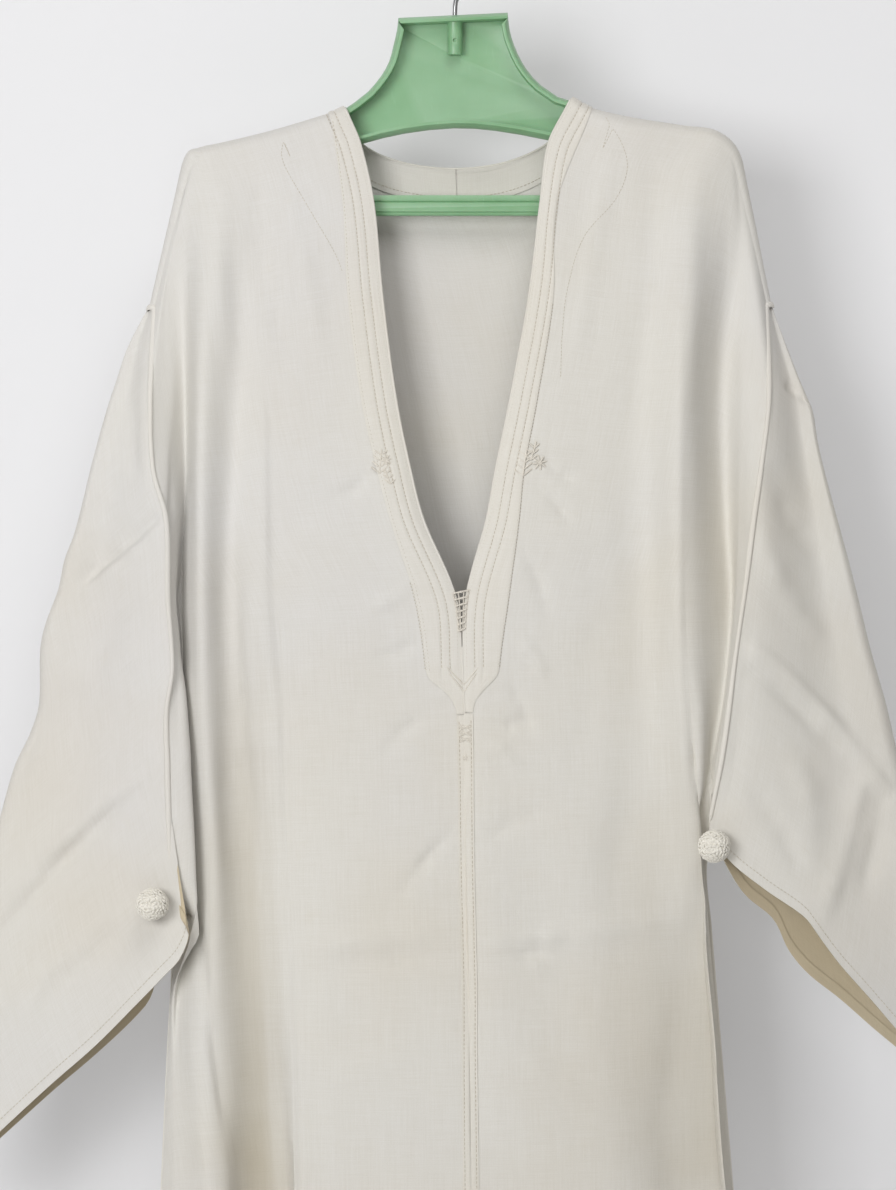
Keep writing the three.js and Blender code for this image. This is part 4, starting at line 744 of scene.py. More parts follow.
BACK_FOLDS = [
    ([(-150, -190), (-146, -320), (-150, -520), (-142, -700)], 10, -2.0, 1.2),
    ([(-120, -260), (-112, -420), (-118, -600)], 12, 1.5, 1.0),
    ([(-172, -360), (-176, -560), (-178, -760), (-186, -980)], 9, 2.0, 0.8),
    ([(-110, -640), (-116, -860), (-112, -1120), (-120, -1400)], 11, -1.8, 1.2),
    ([(-50, -240), (-52, -420), (-46, -640)], 12, 1.3, 1.0),
    ([(-20, -520), (-14, -760), (-10, -1080)], 12, -1.5, 1.0),
    ([(56, -230), (60, -400), (52, -600)], 12, -1.3, 1.0),
    ([(24, -620), (28, -880), (30, -1240)], 11, 1.6, 0.9),
    ([(88, -640), (96, -900), (110, -1300)], 10, -1.8, 1.2),
    ([(150, -190), (146, -340), (152, -560), (148, -740)], 10, 1.8, 0.8),
    ([(122, -300), (116, -470), (124, -640)], 12, -1.5, 1.0),
    ([(176, -420), (172, -640), (186, -900), (204, -1200)], 9, -1.8, 1.2),
    ([(160, -760), (172, -980), (190, -1380)], 10, 1.8, 0.8),
    ([(-150, -760), (-90, -768), (-20, -764)], 9, 0.9, 0.8),
    ([(10, -770), (80, -776), (160, -768)], 8, 1.1, 0.8),
    ([(-170, -1118), (-60, -1126), (80, -1122), (180, -1110)], 10, 0.9, 0.8),
    ([(-40, -780), (-74, -820), (-118, -850)], 5, -0.9, 1.0),
    ([(60, -470), (96, -500), (140, -512)], 6, -0.9, 1.0),
    ([(-64, -356), (-100, -380), (-140, -386)], 6, 0.9, 1.0),
]

FOLD_DEPTH = 1.6

# ---- the robe's sheets -------------------------------------------------------

ROLL_ROWS = np.linspace(0, 1, 9)[:-1]
UPPER_ROWS = np.linspace(1, 2, 181)[:-1]
LOWER_ROWS = np.linspace(2, 3, 131)
ROWS = np.concatenate([ROLL_ROWS, UPPER_ROWS, LOWER_ROWS])
SLEEVE_ROWS = np.concatenate([ROLL_ROWS, UPPER_ROWS, [2.0]])
FRONT_COLUMNS = np.concatenate([
    np.linspace(0, 1, 15)[:-1], np.linspace(1, 2, 37)[:-1], np.linspace(2, SEAM, 56)])
BACK_COLUMNS = np.linspace(0, BACK_END, 129)
HALF_SLEEVE = np.concatenate([np.linspace(0, 0.44, 42)[:-1], np.linspace(0.44, 0.5, 13)[:-1]])
SLEEVE_COLUMNS = np.concatenate([HALF_SLEEVE, [0.5], 1 - HALF_SLEEVE[::-1]])

SEAM_HOLD = 0.45
WAVE_HEIGHT = 0.8
SLEEVE_WAVE_HEIGHT = 0.7
SLEEVE_FOLD_DEPTH = FOLD_DEPTH * 1.25

# Folds and waves fade out towards the seams and over the shoulder.
FROM_SHOULDER = level(ROWS, 0.6, 1.06)[:, None]


def front_cloth(side, seed):
    """A front panel with its waves and folds."""
    cloth = Sheet(FRONT_COLUMNS, ROWS, front_sheet(side, FRONT_COLUMNS, ROWS), TO_FRONT)
    keep = level(SEAM - FRONT_COLUMNS, 0, SEAM_HOLD)[None, :] * FROM_SHOULDER
    cloth.lift(soft_waves(cloth.points, seed, WAVE_HEIGHT) * keep)
    cloth.lay_folds(FRONT_FOLDS, keep * FOLD_DEPTH)
    return cloth


def sleeve_cloth(side, seed):
    """A sleeve with its waves and its two layers' folds."""
    arm = Sheet(SLEEVE_COLUMNS, SLEEVE_ROWS, sleeve_sheet(side, SLEEVE_COLUMNS, SLEEVE_ROWS), TO_FRONT)
    from_seams = level(np.minimum(SLEEVE_COLUMNS, 1 - SLEEVE_COLUMNS), 0, 0.05)[None, :]
    from_apex = level(SLEEVE_ROWS, 1.0, 1.12)[:, None]
    on_front = 1 - level(SLEEVE_COLUMNS, 0.46, 0.52)[None, :]
    keep = from_seams * from_apex
    arm.lift(soft_waves(arm.points, seed, SLEEVE_WAVE_HEIGHT) * keep)
    arm.lay_folds(SLEEVE_FRONT_FOLDS, keep * on_front * SLEEVE_FOLD_DEPTH)
    arm.lay_folds(SLEEVE_BACK_FOLDS, keep * (1 - on_front) * FOLD_DEPTH)
    return arm


FRONTS = {"left": front_cloth(SIDES["left"], seed=3), "right": front_cloth(SIDES["right"], seed=4)}
SLEEVES = {"left": sleeve_cloth(SIDES["left"], seed=5), "right": sleeve_cloth(SIDES["right"], seed=6)}


def back_cloth(seed):
    """The back, its shoulder line brought to the fronts' where they meet."""
    points = back_sheet(BACK_COLUMNS, ROWS)
    shoulder = np.concatenate([front.points[0] for front in FRONTS.values()])
    shoulder = shoulder[np.argsort(shoulder[:, 0])]
    meets = level(np.abs(BACK_COLUMNS - BACK_CENTRE), 3.7, 4.1)
    drop = np.interp(points[0, :, 0], shoulder[:, 0], shoulder[:, 2]) - points[0, :, 2]
    into = (1 - level(ROWS, 0, 1))[:, None] * meets[None, :]
    points[:, :, 2] += into * drop[None, :]
    points[:, :, 1] -= into * points[0, :, 1][None, :]
    cloth = Sheet(BACK_COLUMNS, ROWS, points, TO_BACK)
    from_seams = level(np.minimum(BACK_COLUMNS, BACK_END - BACK_COLUMNS), 0, SEAM_HOLD)[None, :]
    cloth.lift(soft_waves(cloth.points, seed, WAVE_HEIGHT) * from_seams * FROM_SHOULDER)
    cloth.lay_folds(BACK_FOLDS, from_seams * FROM_SHOULDER * FOLD_DEPTH)
    return cloth


BACK = back_cloth(seed=7)

# ---- finishes ----------------------------------------------------------------

# Outputs of the Texture Coordinate node, then of the Geometry node.
CLOTH_METRES = 2
OBJECT_PLACE = 3
BACKFACING = 6
POINTINESS = 7


class Value:
    """A node's output that takes part in shader arithmetic."""

    def __init__(self, finish, socket):
        self.finish = finish
        self.socket = socket

    def maths(self, operation, first, second):
        return self.finish.node("ShaderNodeMath", {"operation": operation}, {0: first, 1: second})

    def __add__(self, other):
        return self.maths("ADD", self, other)

    __radd__ = __add__

    def __mul__(self, other):
        return self.maths("MULTIPLY", self, other)

    __rmul__ = __mul__

    def __sub__(self, other):
        return self.maths("SUBTRACT", self, other)

    def __rsub__(self, other):
        return self.maths("SUBTRACT", other, self)


class Finish:
    """A material built around one Principled shader."""

    def __init__(self, name, roughness, **uniform):
        self.material = bpy.data.materials.new(name)
        self.material.use_nodes = True
        self.tree = self.material.node_tree
        self.shader = self.tree.nodes["Principled BSDF"]
        self.shader.inputs["Roughness"].default_value = roughness
        for key, value in uniform.items():
            self.shader.inputs[key.replace("_", " ").title()].default_value = value

    def node(self, kind, settings=None, inputs=None, output=0):
        """A new node: its settings first, then the values or links of its sockets."""
        made = self.tree.nodes.new(kind)
        for key, value in (settings or {}).items():
            if key == "stops":
                ramp = made.color_ramp
                while len(ramp.elements) < len(value):
                    ramp.elements.new(0.5)
                for element, (at, colour) in zip(ramp.elements, value):
                    element.position = at
                    element.color = colour
            else:
                setattr(made, key, value)
        for key, value in (inputs or {}).items():
            self.feed(made.inputs[key], value)
        return Value(self, made.outputs[output])

    def feed(self, socket, value):
        if isinstance(value, Value):
            self.tree.links.new(value.socket, socket)
        else:
            socket.default_value = value

    def coordinates(self, source, scale=(1, 1, 1)):
        """Object places or cloth metres, stretched by a scale."""
        place = self.node("ShaderNodeTexCoord", output=source)
        return self.node("ShaderNodeMapping", None, {"Vector": place, "Scale": scale})

    def noise(self, vector, scale, detail=2.0, roughness=0.5):
        return self.node("ShaderNodeTexNoise", None,
                         {"Vector": vector, "Scale": scale, "Detail": detail, "Roughness": roughness})

    def ramp(self, factor, low, high):
        """0 below low and 1 above high."""
        stops = [(low, (0, 0, 0, 1)), (high, (1, 1, 1, 1))]
        return self.node("ShaderNodeValToRGB", {"stops": stops}, {"Fac": factor})

    def blend(self, factor, a, b, way="MIX"):
        settings = {"data_type": "RGBA", "blend_type": way}
        return self.node("ShaderNodeMix", settings, {0: factor, 6: a, 7: b}, output=2)

    def bump(self, height, strength, distance, under=None):
        inputs = {"Height": height, "Strength": strength, "Distance": distance}
        if under is not None:
            inputs["Normal"] = under
        return self.node("ShaderNodeBump", None, inputs)

    def paint(self, colour=None, roughness=None, normal=None):
        """Feeds the shader and gives the finished material."""
        if colour is not None:
            self.feed(self.shader.inputs["Base Color"], colour)
        if roughness is not None:
            self.feed(self.shader.inputs["Roughness"], roughness)
        if normal is not None:
            self.feed(self.shader.inputs["Normal"], normal)
        return self.material


def tone(red, green, blue):
    """A linear colour from display values 0..255."""
    channels = []
    for value in (red, green, blue):
        share = value / 255
        low = share / 12.92
        high = ((share + 0.055) / 1.055) ** 2.4
        channels.append(low if share <= 0.04045 else high)
    return (*channels, 1.0)


# Where the painted shade in the fronts' hollows lies.
HOLLOW_SLANT = 0.049
HOLLOW_SHIFT = 0.6986
RAMP_SHIFT = 0.5


def painted_hollow_shade(finish):
    """How much painted shade darkens the cloth in the long hollows of the fronts."""
    place = finish.node("ShaderNodeTexCoord", output=OBJECT_PLACE)
    x, y, z = (finish.node("ShaderNodeSeparateXYZ", None, {0: place}, output=i) for i in range(3))
    # A ramp's stops lie in 0..1, so places on the left are moved up into that reach.
    along_hollow = x + z * HOLLOW_SLANT + HOLLOW_SHIFT
    left = finish.ramp(along_hollow, 0.470, 0.498)
    left = left * (1 - 0.55 * finish.ramp(along_hollow, 0.510, 0.517))
    left = left * (1 - finish.ramp(along_hollow, 0.523, 0.530))
    left = left * finish.ramp(0 - z, 0.45, 0.85)
    right = 0.6 * finish.ramp(x + RAMP_SHIFT, 0.61, 0.69) * finish.ramp(0 - z, 0.5, 0.85)
    on_front = 1 - finish.ramp(y + RAMP_SHIFT, 0.5, 0.506)
    return (left + right) * on_front


def woven_cream(name, pale, warm, cool, slub=1.0, hollows=False):
    """The robe's plain woven cloth: fine threads, slubs, soft stains, and painted shade in the hollows
    where asked.
    """
    finish = Finish(name, 0.9, sheen_weight=0.18, sheen_roughness=0.45)
    solid = finish.coordinates(OBJECT_PLACE)
    warp = finish.noise(finish.coordinates(CLOTH_METRES, (1400, 34, 1)), 1.0, 3.0, 0.6)
    weft = finish.noise(finish.coordinates(CLOTH_METRES, (30, 1250, 1)), 1.0, 3.0, 0.6)
    thick = finish.noise(finish.coordinates(CLOTH_METRES, (620, 11, 1)), 1.0, 2.0, 0.5)
    grain = finish.noise(finish.coordinates(CLOTH_METRES, (900, 900, 1)), 1.0, 2.0, 0.7)
    patches = finish.ramp(finish.noise(solid, 5.5, 3.0, 0.55), 0.42, 0.66)
    coolness = finish.ramp(finish.noise(solid, 3.1, 2.0, 0.5), 0.45, 0.7)
    marks = finish.ramp(finish.noise(solid, 46, 4.0, 0.6), 0.62, 0.78)
    colour = finish.blend(patches * 0.55, tone(*pale), tone(*warm))
    colour = finish.blend(coolness * 0.5, colour, tone(*cool))
    threads = (warp * 0.5 + weft * 0.5) * 0.6 + thick * 0.15 + grain * 0.25
    shaded = finish.ramp(threads, 0.32, 0.68)
    colour = finish.blend(1 - shaded, colour, tone(240, 238, 233), "MULTIPLY")
    colour = finish.blend(marks * 0.12, colour, tone(206, 198, 180))
    # Painted shade: a warm darker tone multiplied into the long hollows of the fronts in place of their
    # shadow.
    if hollows:
        strength = painted_hollow_shade(finish) * (0.8 + 0.3 * patches)
        colour = finish.blend(strength, colour, tone(222, 217, 206), "MULTIPLY")
    weave = finish.bump(warp + weft, 0.28 * slub, 0.0003)
    slubs = finish.bump(thick, 0.16 * slub, 0.0004, weave)
    soft = finish.bump(finish.noise(solid, 62, 3.0, 0.5), 0.25, 0.0012, slubs)
    return finish.paint(colour, 0.82 + 0.14 * warp, soft)


def sewing_thread(name, pale, deep, pitch):
    """Twisted thread, with the twist slanting round it."""
    finish = Finish(name, 0.75, sheen_weight=0.15)
    solid = finish.coordinates(OBJECT_PLACE)
    twist = finish.node("ShaderNodeTexWave", {"wave_type": "BANDS", "bands_direction": "DIAGONAL"},
                        {"Vector": solid, "Scale": pitch, "Distortion": 1.2, "Detail": 1.0})
    fuzz = finish.noise(solid, 2600, 2.0, 0.6)
    wear = finish.ramp(finish.noise(solid, 38, 2.0, 0.5), 0.4, 0.7)
    colour = finish.blend(twist, tone(*deep), tone(*pale))
    colour = finish.blend(wear * 0.3, colour, tone(*deep))
    normal = finish.bump(twist + fuzz * 0.5, 0.5, 0.0003)
    return finish.paint(colour, 0.68 + 0.2 * fuzz, normal)


def moulded_mint():
    """Pale green moulded plastic, a little cloudy, lighter along its rims and scuffed."""
    finish = Finish("moulded_mint_plastic", 0.36, coat_weight=0.15, coat_roughness=0.25,
                    subsurface_weight=0.08, subsurface_scale=0.004)
    solid = finish.coordinates(OBJECT_PLACE)
    cloud = finish.noise(solid, 14, 4.0, 0.6)
    flow = finish.noise(finish.coordinates(OBJECT_PLACE, (9, 9, 55)), 1.0, 3.0, 0.55)
    scratches = finish.noise(finish.coordinates(OBJECT_PLACE, (420, 420, 60)), 1.0, 4.0, 0.7)
    scuffs = finish.ramp(scratches, 0.6, 0.74)
    rim = finish.ramp(finish.node("ShaderNodeNewGeometry", output=POINTINESS), 0.52, 0.58)
    colour = finish.blend(finish.ramp(cloud, 0.35, 0.7), tone(121, 167, 122), tone(138, 181, 140))
    colour = finish.blend(finish.ramp(flow, 0.5, 0.8) * 0.3, colour, tone(150, 190, 152))
    colour = finish.blend(rim * 0.35, colour, tone(176, 206, 178))
    colour = finish.blend(scuffs * 0.18, colour, tone(168, 206, 172))
    peel = finish.bump(finish.noise(solid, 900, 2.0, 0.5), 0.12, 0.0002)
    waves = finish.bump(flow, 0.12, 0.0012, peel)
    return finish.paint(colour, 0.3 + 0.16 * cloud + 0.2 * scuffs, waves)


def drawn_steel():
    """Plated steel wire with drawing lines and small dull spots."""
    finish = Finish("drawn_steel_wire", 0.3, metallic=1.0)
    solid = finish.coordinates(OBJECT_PLACE)
    lines = finish.noise(finish.coordinates(OBJECT_PLACE, (2400, 2400, 60)), 1.0, 2.0, 0.6)
    spots = finish.ramp(finish.noise(solid, 260, 4.0, 0.6), 0.58, 0.72)
    colour = finish.blend(lines, tone(150, 150, 150), tone(186, 188, 190))
    colour = finish.blend(spots * 0.6, colour, tone(120, 112, 100))
    normal = finish.bump(lines, 0.2, 0.0001)
    return finish.paint(colour, 0.24 + 0.12 * lines + 0.3 * spots, normal)


# Each cloth: its pale, warm and cool tones.
# The panels' cloth carries painted shade in the hollows of the fronts.
PANEL_CLOTH = woven_cream("panel_cloth", (221, 219, 213), (216, 211, 200), (217, 217, 220), hollows=True)
SLEEVE_CLOTH = woven_cream("sleeve_cloth", (221, 219, 213), (216, 210, 199), (217, 217, 221))
# The sleeves' inside is painted a darker olive cream: painted shade for the shadowed inside of the
# cuffs.
SLEEVE_INSIDE_SHADE = woven_cream("sleeve_inside_painted_shade", (204, 191, 164), (197, 182, 150), (201, 192, 170))
BAND_CLOTH = woven_cream("band_cloth", (224, 221, 213), (219, 213, 200), (219, 218, 217), slub=1.3)
FACING_CLOTH = woven_cream("facing_cloth", (221, 218, 211), (215, 209, 197), (216, 215, 216))
SEAM_CLOTH = woven_cream("seam_cloth", (226, 223, 216), (219, 213, 201), (220, 219, 219), slub=1.5)
# Each thread: its pale and deep tones and the pitch of its twist.
SEAM_THREAD = sewing_thread("seam_thread", (214, 207, 193), (176, 166, 146), 900)
MOTIF_THREAD = sewing_thread("motif_thread", (234, 229, 219), (212, 205, 191), 700)
POMPOM_YARN = sewing_thread("pompom_yarn", (241, 238, 229), (224, 219, 207), 420)
MINT = moulded_mint()
STEEL = drawn_steel()

# ---- panels and sleeves ------------------------------------------------------


def cloth_piece(name, sheet, material, node, inside=None):
    """A panel or sleeve with its wall, and an own finish inside it where one is named."""
    piece = sheet_mesh(name, sheet)
    close_poles(piece)
    layer = len(piece.data.polygons)
    give_wall(piece)
    settle(piece, material, node)
    if inside:
        piece.data.materials.append(inside)
        for polygon in piece.data.polygons[layer:2 * layer]:
            polygon.material_index = 1
    return piece


pieces = {}
for name in SIDES:
    pieces[f"front_{name}"] = cloth_piece(
        f"front_cloth_{name}", FRONTS[name], PANEL_CLOTH, f"front_panel_{name}")
    # Each sleeve's inner face gets the painted shade of the inside.
    pieces[f"sleeve_{name}"] = cloth_piece(
        f"sleeve_cloth_{name}", SLEEVES[name], SLEEVE_CLOTH, f"sleeve_{name}", inside=SLEEVE_INSIDE_SHADE)
pieces["back"] = cloth_piece("back_cloth", BACK, PANEL_CLOTH, "back_panel")

# ---- bands, facings and hems -------------------------------------------------

# Down the slit, as v: the foot of its V, the foot of the tack, and the bands' point.
V_FOOT = 1.644
TACK_FOOT = 1.69
POINT_FROM = 1.742
POINT = 1.8
BAND_LIFT = 0.95
BAND_WALL = 0.7
BAND_FACE = BAND_LIFT + BAND_WALL / 2
# Rows of stitches, in mm from the neck edge or from the centre.
NECK_STITCHES = (8.6, 15.0)
EDGE_STITCHES = 2.6
CENTRE_STITCHES = 4.4
INWARD = np.linspace(0, 1.1, 45)


def inward_lengths(sheet, v):
    """How far each place of INWARD lies from the sheet's first edge."""
    v = np.asarray(v, dtype=float)[..., None]
    points, _ = sheet.at(np.broadcast_to(INWARD, v.shape[:-1] + INWARD.shape), v + 0 * INWARD)
    steps = np.linalg.norm(np.diff(points, axis=-2), axis=-1)
    return np.concatenate([np.zeros(v.shape), np.cumsum(steps, axis=-1)], axis=-1)


def in_from(sheet, v, distance):
    """The u that lies `distance` mm in from the sheet's first edge."""
    lengths = inward_lengths(sheet, v)
    flat = lengths.reshape(-1, len(INWARD))
    wanted = np.broadcast_to(distance, lengths.shape[:-1]).reshape(-1)
    found = [np.interp(far, row, INWARD) for far, row in zip(wanted, flat)]
    return np.array(found).reshape(lengths.shape[:-1])


def laid(sheet, u, v, lift):
    """Places that lie `lift` mm off a sheet, or inside it where that is negative."""
    points, normals = sheet.at(u, v)
    return points + normals * np.asarray(lift)[..., None]


def neck_band(name):
    """The applied band down one side of the neck, stitched down along its channels."""
    sheet = FRONTS[name]
    rows = np.concatenate([ROWS[ROWS < POINT], [POINT]])
    full = np.ones_like(rows)
    point_u = in_from(sheet, np.array(POINT), BAND_WIDTH / 2)
    reach = mix(full, point_u, level(rows, POINT_FROM, POINT))
    shares = np.linspace(0, 1, 37)
    lengths = inward_lengths(sheet, rows)
    width = np.array([np.interp(far, INWARD, row) for far, row in zip(reach, lengths)])
    from_edge = width[:, None] * shares[None, :]
    u = in_from(sheet, np.broadcast_to(rows[:, None], from_edge.shape), from_edge)
    v = np.broadcast_to(rows[:, None], u.shape)
    channel = sum(np.exp(-((from_edge - stitches) / 0.9) ** 2) for stitches in NECK_STITCHES)
    puff = np.minimum(from_edge / 2.2, (width[:, None] - from_edge) / 1.6)
    lift = BAND_LIFT + 0.3 * clamp01(puff) - 0.5 * channel
    piece = sheet_mesh(f"neck_band_cloth_{name}", laid(sheet, u, v, lift), TO_FRONT)
    give_wall(piece, BAND_WALL)
    return settle(piece, BAND_CLOTH, f"neck_band_{name}")


def centre_band():
    """The narrow band down the centre front, below the point of the neck bands."""
    rows = np.concatenate([[POINT + 0.002], ROWS[ROWS > POINT + 0.004]])
    offsets = np.linspace(-BAND_WIDTH / 2, BAND_WIDTH / 2, 17)
    columns = []
    for offset in offsets:
        sheet = FRONTS["left" if offset < 0 else "right"]
        puff = clamp01((BAND_WIDTH / 2 - abs(offset)) / 1.5)
        channel = math.exp(-((abs(offset) - CENTRE_STITCHES) / 0.7) ** 2)
        lift = BAND_LIFT + 0.25 * puff - 0.42 * channel
        columns.append(laid(sheet, in_from(sheet, rows, abs(offset)), rows, np.full(len(rows), lift)))
    piece = sheet_mesh("centre_band_cloth", np.stack(columns, axis=1), TO_FRONT)
    give_wall(piece, BAND_WALL)
    return settle(piece, BAND_CLOTH, "centre_band")


def back_facing(name, from_u, to_u):
    """Half of the facing inside the back neck."""
    u, v = np.meshgrid(np.linspace(from_u, to_u, 41), np.linspace(0.0, 1.042, 17))
    points = laid(BACK, u, v, np.full(u.shape, -BAND_LIFT - 0.25))
    piece = sheet_mesh(f"neck_facing_{name}", points, TO_FRONT)
    give_wall(piece, BAND_WALL)
    return settle(piece, FACING_CLOTH, f"back_neck_facing_{name}")


for name in SIDES:
    pieces[f"band_{name}"] = neck_band(name)
pieces["centre_band"] = centre_band()
pieces["facing_left"] = back_facing("left", 5.5, 7.985)
pieces["facing_right"] = back_facing("right", 8.015, 10.5)


# As v: the cuff's edge, the hem's edge and the rows of the turned hem.
CUFF = 2.0
HEM = 3.0
HEM_ROWS = np.linspace(2.982, HEM, 7)
HEM_LIFT = -0.95
HEM_WALL = 0.7
# Up from the cuff, in mm: the turned hem's edge and the stitches that hold it.
CUFF_HEM = 9.0
CUFF_STITCHES = 8.2


def turned_hem(name, sheet, u, v, material):
    """The turned edge of a cuff or of the hem, inside the cloth."""
    points = laid(sheet, u, v, np.full(u.shape, HEM_LIFT))
    piece = sheet_mesh(name, points, -sheet.outward)
    give_wall(piece, HEM_WALL)
    return settle(piece, material)


def up_from_cuff(arm, columns, distance):
    """How much of v lies in `distance` mm up from the cuff at each column."""
    step = 0.02
    row_step = np.linalg.norm(arm.at(columns, CUFF)[0] - arm.at(columns, CUFF - step)[0], axis=1) / step
    return np.clip(distance / row_step, 0, 0.06)


for name, arm in SLEEVES.items():
    depth = up_from_cuff(arm, SLEEVE_COLUMNS, CUFF_HEM)
    u, share = np.meshgrid(SLEEVE_COLUMNS, np.linspace(1, 0, len(HEM_ROWS)))
    v = CUFF - depth[None, :] * share
    # The turned cuff hem takes the painted shade of the sleeve's inside.
    pieces[f"cuff_hem_{name}"] = turned_hem(f"cuff_hem_{name}", arm, u, v, SLEEVE_INSIDE_SHADE)
    u, v = np.meshgrid(FRONT_COLUMNS, HEM_ROWS)
    pieces[f"hem_{name}"] = turned_hem(f"front_hem_{name}", FRONTS[name], u, v, PANEL_CLOTH)
u, v = np.meshgrid(BACK_COLUMNS, HEM_ROWS)
pieces["hem_back"] = turned_hem("back_hem", BACK, u, v, PANEL_CLOTH)

# ---- rolled seams and piping -------------------------------------------------


def roll(name, points, normals, width, height, material=SEAM_CLOTH):
    """A rolled seam or a piped edge along a line of points."""
    count = len(points)
    ends = clamp01(np.minimum(np.arange(count), np.arange(count)[::-1]) / 3 + 0.25)
    part = tube_part(points, width * ends, height * ends, normals, sides=10)
    return tubes_piece(name, [part], material)


def armhole_seam(name, side, sway_from):
    """The rolled seam up the back of the armhole, over its top and down the front."""
    rows = ROWS[ROWS <= 1.985]
    below_top = level(rows, 0, 1.1)[:, None]
    over_top = (1 - below_top) * np.array([side.sign * 0.9, 0.0, 0.44])
    s = np.linspace(0, 1, len(rows))
    sway = 0.5 * np.sin(11 * s + sway_from) * np.sin(math.pi * s)
    sway = np.stack([sway, -0.3 * np.abs(sway), 0 * s], axis=1)
    points, normals = FRONTS[name].at(SEAM, rows)
    front_up = (normals * 0.4 + TO_FRONT * 0.6) * below_top + over_top
    front_half = points + sway + front_up * 0.5
    points, normals = BACK.at(side.back_u, rows)
    back_up = normals * below_top + over_top
    back_half = points + back_up * 0.5
    line = np.concatenate([back_half[:0:-1], front_half])
    ups = np.concatenate([back_up[:0:-1], front_up])
    at_top = np.exp(-(np.abs(np.arange(1 - len(rows), len(rows))) / 2.5) ** 2)
    line += at_top[:, None] * np.array([side.sign * 0.8, 0.0, -0.4])
    width = np.concatenate([np.full(len(rows) - 1, 1.9), 2.0 + 0.3 * np.sin(17 * s)]) + 0.8 * at_top
    height = np.concatenate([np.full(len(rows) - 1, 1.2), mix(1.2, 1.7, s)])
    return roll(f"armhole_seam_{name}", line, ups, width, height)


def side_seam(name):
    """The rolled seam from the underarm to the hem."""
    points, normals = FRONTS[name].at(SEAM, ROWS[ROWS >= 2.0])
    girth = np.full(len(points), 0.9)
    return roll(f"side_seam_{name}", points, normals, girth, girth)


def neck_piping(name):
    """The piped edge down one side of the neck, thinner beside the tack."""
    piping_foot = POINT - 0.05
    rows = np.concatenate([ROWS[(ROWS > 0.3) & (ROWS < piping_foot)], [piping_foot]])
    points, normals = FRONTS[name].at(0.0, rows)
    girth = mix(1.15, 0.75, level(rows, 1.58, 1.64))
    return roll(f"neck_piping_{name}", points + normals * 0.45, normals, girth, girth + 0.1, BAND_CLOTH)


def back_piping():
    """The piped edge across the back of the neck."""
    us = np.linspace(4.6, 11.4, 120)
    points, _ = BACK.at(us, 0.0)
    ups = np.tile([0.0, 0.0, 1.0], (len(us), 1))
    return roll("neck_piping_back", points, ups, np.full(len(us), 1.3), np.ones(len(us)), BAND_CLOTH)


for name, sway_from in (("left", 1), ("right", 3)):
    pieces[f"armhole_{name}"] = armhole_seam(name, SIDES[name], sway_from)
    pieces[f"side_seam_{name}"] = side_seam(name)
    pieces[f"piping_{name}"] = neck_piping(name)
pieces["piping_back"] = back_piping()

# ---- stitching ---------------------------------------------------------------


def evenly(points, normals, pitch):
    """Points and normals every `pitch` mm along a line."""
    lengths = np.concatenate([[0], np.cumsum(np.linalg.norm(np.diff(points, axis=0), axis=1))])
    at = np.arange(0, lengths[-1], pitch)
    both = []
    for values in (points, normals):
        both.append(np.stack([np.interp(at, lengths, values[:, axis]) for axis in range(3)], axis=1))
    return both


def dash(start, end, up, radius, lift, rings=4, sides=5):
    """One short stitch, its two ends sunk into the cloth."""
    shares = np.linspace(0, 1, rings)
    centres = start + (end - start) * shares[:, None]
    arch = np.sin(math.pi * np.clip(shares, 0.06, 0.94)) ** 0.5
    centres = centres + up * ((lift + radius * 0.3) * arch - radius * 0.5)[:, None]
    radii = radius * (0.55 + 0.45 * arch)
    return tube_part(centres, radii, radii, np.tile(up, (rings, 1)), sides)


def stitching(name, lines, pitch=3.0, radius=0.3, lift=0.2):
    """Rows of stitches along lines of (points, normals)."""
    start_share, end_share = 0.1, 0.72
    parts = []
    for points, normals in lines:
        spots, ups = evenly(points, normals, pitch)
        for i in range(len(spots) - 1):
            wander = random.uniform(-0.1, 0.1)
            start = spots[i] + (spots[i + 1] - spots[i]) * (start_share + wander * 0.5)
            end = spots[i] + (spots[i + 1] - spots[i]) * (end_share + wander)
            parts.append(dash(start, end, ups[i], radius, lift))
    return tubes_piece(name, parts, SEAM_THREAD)


def on_sheet(sheet, u, v, lift):
    """A line of points and normals at one lift off a sheet."""
    points, normals = sheet.at(u, v)
    return points + normals * lift, normals


def on_band(sheet, rows, distance):
    """A line on the neck band, `distance` mm in from its edge."""
    u = in_from(sheet, rows, distance)
    return on_sheet(sheet, u, rows, BAND_FACE - 0.05)


TOP_OF_CLOTH = CLOTH / 2
band_rows = np.linspace(0.4, POINT_FROM, 200)
for name, sheet in FRONTS.items():
    lines = [on_band(sheet, band_rows, distance) for distance in NECK_STITCHES]
    if name == "left":
        lines.append(on_sheet(sheet, 0.96, band_rows, BAND_FACE))
    lines.append(on_band(sheet, band_rows, EDGE_STITCHES))
    pieces[f"stitch_band_{name}"] = stitching(f"neck_band_stitches_{name}", lines)

centre_rows = np.linspace(POINT + 0.01, 2.995, 260)
lines = [on_band(sheet, centre_rows, CENTRE_STITCHES) for sheet in FRONTS.values()]
pieces["stitch_centre"] = stitching("centre_band_stitches", lines, pitch=3.4)


def traced(sheet, path, count=90):
    """A line on a sheet through places in the front view."""
    path = np.array(path, dtype=float)
    knots = np.arange(len(path))
    course = Course(np.column_stack([knots, path]).tolist())
    spots = course(np.linspace(0, len(path) - 1, count))
    found = np.array([sheet.find(x, z) for x, z in spots])
    return on_sheet(sheet, found[:, 0], found[:, 1], TOP_OF_CLOTH)


